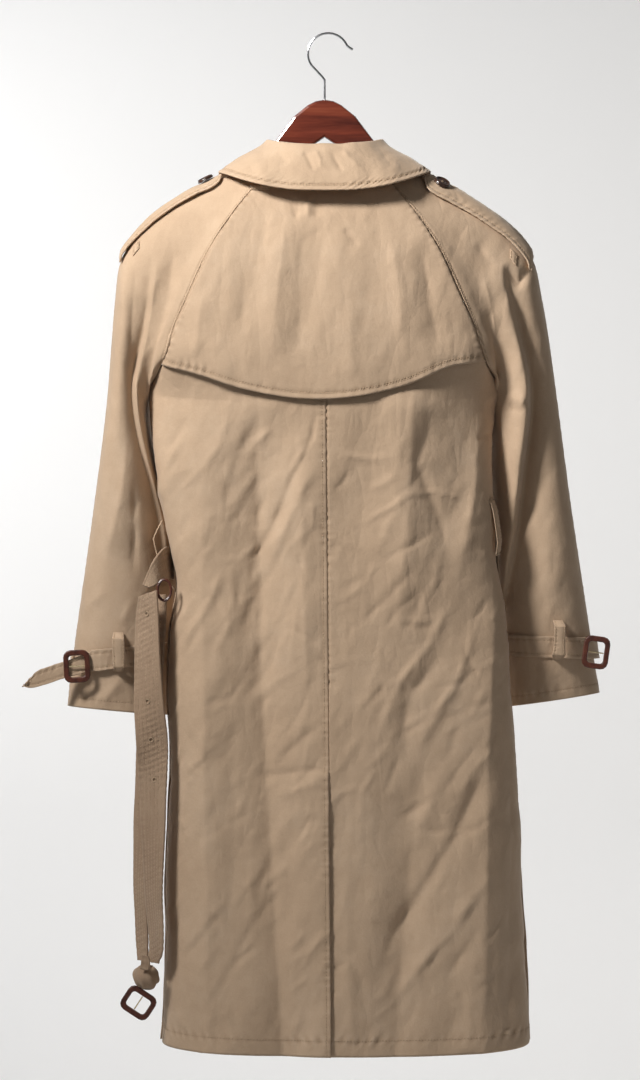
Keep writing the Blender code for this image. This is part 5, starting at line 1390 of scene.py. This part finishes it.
def addCuffs():
    for side, name in ((left, "left"), (right, "right")):
        c = cuffs[side]
        place = np.linspace(c["start"], c["end"], 190)[:, None]
        v = place % 2
        part = (1 - np.cos(pi * np.minimum(v, 2 - v))) / 2
        z = c["zInner"] + part * (c["zOuter"] - c["zInner"])
        t = evenly(20, 0.2, 1.0, -1.0)[None, :]
        over = smooth(c["start"] + 1.55, c["start"] + 1.75, place)
        u = sleeveUAt(side, v + 0 * t, z + t * cuffStrapWidth / 2)
        points = sleeveLifted(side, u, v + 0 * t, 0.0006 + 0.002 + 0.0048 * over)
        if side == left:
            ahead = points[-1, 10, 1]
            first = (points[-1, 10, 0], points[-1, 10, 2], cuffTongue["halfWidth"])
            along = np.linspace(0.002, cuffTongue["at"][-1], cuffTongue["rows"])
            steps = throughValues(np.array(cuffTongue["at"]), np.array([first, *cuffTongue["line"]]), along)
            level = 0 * t + np.full((cuffTongue["rows"], 1), ahead - 0.001)
            more = np.stack([steps[:, :1] + 0.003 * t, level, steps[:, 1:2] + steps[:, 2:3] * t], -1)
            points = np.concatenate([points, more])
        outward = points - sleeveMiddle(side, np.full((1, 1), 10.5))
        rumple = 0.0005 * slantNoise(points[..., 0], points[..., 2], 0.014, 2.0, 90, 91)
        piece = {"thickness": strapWall, "cut": cuts["cuffStrap"][side],
                 "seams": (*seamsAt(("first", "last"), 0.005, depth=0.0005, pucker=0.0003, lip=0.0002),
                           seam("bottom", 0.005, depth=0.0005, pucker=0.0001))}
        makeCloth("cloth_cuff_strap_" + name, points, outward, piece, rumple)
        down = np.linspace(0, 1, 60)[:, None]
        z = c["loopZ"] + 0.0245 - 0.049 * down
        lift = 0.0024 + 0.0136 * smooth(0.0, 0.14, down) * smooth(1.0, 0.86, down)
        x = abs(c["loopX"]) + side * np.linspace(-1, 1, 12)[None, :] * 0.006
        x, z = np.broadcast_arrays(x, z)
        v = solveFor(lambda v: np.abs(sleevePoint(side, sleeveUAt(side, v, z), v)[..., 0]) - x, np.full(x.shape, 0.1),
                     np.full(x.shape, 0.95))
        points = sleeveLifted(side, sleeveUAt(side, v, z), v, lift + 0 * x)
        piece = {"thickness": clothWall, "cut": cuts["cuffLoop"],
                 "seams": seamsAt(("first", "last"), 0.0018, pucker=0.0001, wave=0.006)}
        makeCloth("cloth_cuff_loop_" + name, points, towardBack(points), piece)


# belt: it passes the left loop, hangs in two strands and ends in a knot with a buckle
beltPass = (
    (-0.194, 0.008, -0.642, -0.191, 0.008, -0.681), (-0.196, 0.0, -0.641, -0.1915, 0.0, -0.68),
    (-0.199, -0.014, -0.641, -0.1945, -0.014, -0.68), (-0.204, -0.033, -0.645, -0.1985, -0.034, -0.682),
    (-0.214, -0.05, -0.66, -0.207, -0.053, -0.686), (-0.225, -0.056, -0.688, -0.217, -0.06, -0.692),
)
beltNear = (
    (-0.229, -0.044, -0.702, -0.207, -0.064, -0.694), (-0.233, -0.04, -0.731, -0.205, -0.065, -0.731),
    (-0.234, -0.042, -0.769, -0.2037, -0.066, -0.769), (-0.2355, -0.049, -0.833, -0.1994, -0.064, -0.833),
    (-0.2334, -0.055, -0.882, -0.1945, -0.057, -0.882), (-0.23, -0.045, -0.925, -0.195, -0.062, -0.925),
    (-0.2245, -0.036, -1.011, -0.198, -0.064, -1.011), (-0.221, -0.033, -1.071, -0.2, -0.066, -1.071),
    (-0.216, -0.033, -1.134, -0.199, -0.068, -1.134), (-0.219, -0.034, -1.156, -0.205, -0.06, -1.156),
)
beltFar = (
    (-0.223, -0.016, -0.7, -0.196, -0.03, -0.7), (-0.226, -0.018, -0.745, -0.198, -0.034, -0.745),
    (-0.231, -0.018, -0.833, -0.203, -0.038, -0.833), (-0.2345, -0.011, -0.925, -0.208, -0.035, -0.925),
    (-0.2366, -0.007, -0.99, -0.211, -0.03, -0.99), (-0.2366, -0.006, -1.055, -0.221, -0.026, -1.055),
    (-0.2345, -0.006, -1.1186, -0.2195, -0.024, -1.1186), (-0.232, -0.012, -1.156, -0.22, -0.026, -1.156),
)
beltEnd = (
    (-0.2275, -0.064, -1.162, -0.218, -0.066, -1.164), (-0.2265, -0.0655, -1.152, -0.216, -0.067, -1.154),
    (-0.2245, -0.066, -1.1455, -0.218, -0.067, -1.1465),
)
beltEyelets = ((-0.2205, -0.723), (-0.2195, -0.831), (-0.2145, -0.879), (-0.211, -0.928))


def beltPiece(name, table, count, widthwise, stitchRows, marks=()):
    edges = throughValues(np.linspace(0, 1, len(table)), np.array(table), np.linspace(0, 1, count))
    t = np.linspace(0, 1, widthwise)[None, :, None]
    points = edges[:, None, :3] * (1 - t) + edges[:, None, 3:] * t
    normals = gridNormals(points, towardBack(points))
    points = points + normals * beltWall
    across, down = gridLengths(points)
    height = 0.0006 * slantNoise(points[..., 0], points[..., 2], 0.016, 2.6, 85, 97)
    lane = across / np.maximum(across[:, -1:], 1e-6)
    if stitchRows:
        inside = smooth(0.02, 0.08, lane) * smooth(0.98, 0.92, lane)
        height = height - 0.0003 * np.cos(lane * 2 * pi * (stitchRows + 1)) * inside
        height = height + 0.0003 * np.sin(down / 0.0072 * 2 * pi + lane * 7) * np.sin(pi * lane)
    extra = []
    for x, z in marks:
        nearest = np.argmin((points[..., 0] - x) ** 2 + (points[..., 2] - z) ** 2)
        spot = np.unravel_index(nearest, height.shape)
        away = np.linalg.norm(points - points[spot], axis=-1)
        height = height - 0.0017 * bell(away, 0.0017)
        extra.append(ringAt(points[spot] + normals[spot] * 0.0003, normals[spot], 0.0027, 0.0006))
    paths = []
    for k in range(stitchRows):
        c = (widthwise - 1) * (k + 1) / (stitchRows + 1)
        paths.append((np.linspace(0, count - 1, count), np.full(count, c)))
    piece = {"thickness": beltWall, "paths": paths, "cut": cuts[name], "finish": "beltCloth",
             "seams": seamsAt(("first", "last"), 0.0022, stitched=False, depth=0.0004, pucker=0.0002, lip=0.0002)}
    makeCloth("cloth_" + name, points, towardBack(points), piece, height, extra)


knotPlace = np.array([-0.2215, -0.044, -1.174])


def addKnot():
    # a tight wrapped knot: strands pass round it on a slant
    a, b = np.meshgrid(np.linspace(0.02, pi - 0.02, 60), np.linspace(0, 2 * pi, 97), indexing="ij")
    wrap = 0.1 * np.abs(np.sin(1.5 * (b + 1.6 * np.cos(a)))) ** 0.6 + 0.05 * np.sin(5 * b + 7 * np.cos(a))
    local = np.stack([0.0165 * np.sin(a) * np.cos(b), 0.02 * np.sin(a) * np.sin(b), 0.015 * np.cos(a)], -1)
    local = local * (0.93 + wrap)[..., None]
    turn = np.array(Matrix.Rotation(radians(30), 3, "Y"))
    points = local @ turn.T + knotPlace
    piece = {"thickness": clothWall, "cut": cuts["belt_knot"], "finish": "beltCloth", "nodes": ("belt_knot",)}
    makeCloth("cloth_belt_knot", points, points - knotPlace, piece)


beltLoops = {
    left: {"y": -0.015, "top": -0.606, "long": 0.09, "stand": 0.015},
    right: {"y": -0.034, "top": -0.577, "long": 0.071, "stand": 0.0035},
}


def addBeltLoops():
    for side, name in ((left, "left"), (right, "right")):
        loop = beltLoops[side]
        down = np.linspace(0, 1, 70)[:, None]
        z = loop["top"] - down * loop["long"]
        level = 1 + (z - coatForm["underarmZ"]) / (coatForm["sideHemZ"] - coatForm["underarmZ"])
        y = loop["y"] + 0.0055 * np.linspace(-1, 1, 12)[None, :]
        level, y = np.broadcast_arrays(level, y)
        across = side * solveFor(lambda a: bodyPoint(back, side * a, level)[..., 1] - y, np.full(y.shape, 0.4),
                                 np.full(y.shape, 0.999))
        points = bodyLifted(back, across, level, 0.003 + loop["stand"] * np.minimum(1.5 * np.sin(pi * down), 1.0))
        piece = {"thickness": clothWall, "cut": cuts["beltLoop"][side],
                 "seams": (seamsAt(("first", "last"), 0.0016, pucker=0.0002, wave=0.006)
                           + seamsAt(("top", "bottom"), 0.003, stitch=(0.002, 0.0032), pucker=0.0001))}
        makeCloth("cloth_belt_loop_" + name, points, bodyOutward(back, across), piece)


# each piece's cut before it was sewn: a box of width by length, and the area of its outline
hung = "hung"
cuts = {
    "backPanel": {left: {"flat": (0.26, 1.13), "held": hung, "area": 0.245},
                  right: {"flat": (0.34, 1.13), "held": hung, "area": 0.275}},
    "front": {left: {"flat": (0.34, 1.12), "held": hung, "area": 0.31},
              right: {"flat": (0.39, 1.12), "held": hung, "area": 0.34}},
    "shield": {"flat": (0.43, 0.285), "held": hung, "area": 0.082},
    "sleeve": {"back": {"flat": (0.3, 0.78), "held": hung, "area": 0.116},
               "front": {"flat": (0.28, 0.78), "held": hung, "area": 0.097}},
    "collarFall": {"flat": (0.62, 0.115), "held": "folded", "area": 0.039},
    "collarStand": {"flat": (0.37, 0.03), "held": "folded", "area": 0.006},
    "collarLoop": {"flat": (0.026, 0.01), "held": "stretched", "area": 0.00015},
    "lapel": {left: {"flat": (0.094, 0.3), "held": "folded", "area": 0.01},
              right: {"flat": (0.094, 0.074), "held": "folded", "area": 0.004}},
    "epaulette": {"flat": (0.05, 0.185), "held": "laid", "area": 0.0082},
    "epauletteLoop": {"flat": (0.014, 0.011), "held": "stretched"},
    "cuffStrap": {left: {"flat": (0.027, 0.42), "held": "stretched"},
                  right: {"flat": (0.027, 0.39), "held": "stretched"}},
    "cuffLoop": {"flat": (0.013, 0.067), "held": "stretched"},
    "belt_pass": {"flat": (0.039, 0.1), "held": "folded", "area": 0.003},
    "belt_strand_near": {"flat": (0.04, 0.466), "held": hung},
    "belt_strand_far": {"flat": (0.036, 0.458), "held": hung, "area": 0.0145},
    "belt_end": {"flat": (0.012, 0.018), "held": "folded"},
    "belt_knot": {"flat": (0.04, 0.1), "held": "folded"},
    "beltLoop": {left: {"flat": (0.011, 0.099), "held": "stretched"},
                 right: {"flat": (0.015, 0.072), "held": "stretched"}},
}


# light, wall and camera
studio = {
    "middle": (-0.0103, 0.0, -0.632),
    "distance": 6.0,
    "lens": 160,
    "key": {"place": (-1.75, -1.55, 1.2), "aim": (0.05, 0.0, -0.07), "size": 0.7, "power": 16.5, "spread": 63,
            "colour": (1.0, 0.985, 0.96)},
    "fill": {"place": (1.6, -3.6, 0.3), "aim": (0.0, 0.0, -0.7), "size": 2.4, "power": 6,
             "colour": (0.98, 0.99, 1.0)},
    "wallLight": {"place": (-1.5, 0.1, 0.1), "aim": (-1.0, 1.4, -0.3), "size": 1.2, "spread": 110, "power": 12,
                  "colour": (1, 1, 1)},
    "world": 0.1,
    "roomTone": 0.68,
    "paperGlow": 0.11,
}


def addLight(name, facts):
    light = bpy.data.lights.new(name, "AREA")
    light.shape, light.size = "DISK", facts["size"]
    light.energy, light.color = facts["power"], facts["colour"]
    light.spread = radians(facts.get("spread", 180))
    made = addObject(name, light)
    made.location = facts["place"]
    made.rotation_euler = (Vector(facts["aim"]) - Vector(facts["place"])).to_track_quat("-Z", "Y").to_euler()


def addStudio():
    for name in ("key", "fill", "wallLight"):
        addLight(name, studio[name])
    world = bpy.data.worlds.new("studio")
    bpy.context.scene.world = world
    world.use_nodes = True
    # the room looks pale and lights little
    tree = world.node_tree
    seen = newNode(tree, "LightPath", {}).outputs["Is Camera Ray"]
    strength = mathNode(tree, "MULTIPLY_ADD", seen, studio["roomTone"], studio["world"])
    feed(tree, tree.nodes["Background"], {"Color": (1.0, 0.99, 0.975, 1), "Strength": strength})
    # one sheet of paper: a floor that curves up into a wall
    profile = [(-3.0, -1.55), (0.9, -1.55)]
    profile += [(0.9 + 0.5 * sin(a), -1.05 - 0.5 * cos(a)) for a in np.linspace(0.1, pi / 2, 14)] + [(1.4, 3.0)]
    vertices = [(x, y, z) for y, z in profile for x in (-4.0, 4.0)]
    data = bpy.data.meshes.new("paper")
    data.from_pydata(vertices, [], [(2 * k, 2 * k + 1, 2 * k + 3, 2 * k + 2) for k in range(len(profile) - 1)])
    # the paper glows a little and is clear from behind, so the coat shows from every side
    tree = materials["wall"].node_tree
    shader = next(node for node in tree.nodes if node.type == "BSDF_PRINCIPLED")
    output = next(node for node in tree.nodes if node.type == "OUTPUT_MATERIAL")
    feed(tree, shader, {"Emission Color": (1, 1, 1, 1), "Emission Strength": studio["paperGlow"]})
    facing = newNode(tree, "NewGeometry", {}).outputs["Backfacing"]
    clear = newNode(tree, "BsdfTransparent", {}).outputs["BSDF"]
    blend = newNode(tree, "MixShader", {0: facing, 1: shader.outputs["BSDF"], 2: clear})
    feed(tree, output, {"Surface": blend.outputs["Shader"]})
    data.materials.append(materials["wall"])
    data.shade_smooth()
    addObject("paper", data)
    camera = bpy.data.cameras.new("camera")
    camera.lens, camera.sensor_width = studio["lens"], 36
    made = addObject("camera", camera)
    made.location = Vector(studio["middle"]) + Vector((0, -studio["distance"], 0))
    made.rotation_euler = (radians(90), 0, 0)
    bpy.context.scene.camera = made
    bpy.context.scene.view_settings.view_transform = "Standard"


# the hard pieces keep their solids and take their finishes
hardPieces = {
    "leather": ("cuff_buckle_left", "cuff_buckle_right", "belt_buckle", "belt_ring"),
    "brass": ("cuff_prong_left", "cuff_prong_right", "belt_prong"),
    "mahogany": ("hanger_yoke",),
    "steel": ("hanger_hook",),
}


def finishHardPieces():
    for finish, names in hardPieces.items():
        for name in names:
            node = bpy.data.objects[name]
            for spot in node.material_slots:
                spot.material = materials[finish]
            node.data.shade_smooth()


addStudio()
print("studio ready")
addBackPanels()
addFronts()
print("body ready")
addShield()
addSleeves()
print("shield and sleeves ready")
addCollar()
addLapels()
addEpaulettes()
addFrontButtons()
print("collar, lapels and straps ready")
addCuffs()
beltPiece("belt_pass", beltPass, 60, 16, 4)
beltPiece("belt_strand_near", beltNear, 300, 30, 6, beltEyelets)
beltPiece("belt_strand_far", beltFar, 240, 20, 4)
beltPiece("belt_end", beltEnd, 20, 10, 0)
addKnot()
addBeltLoops()
finishHardPieces()
print("cuffs and belt ready")
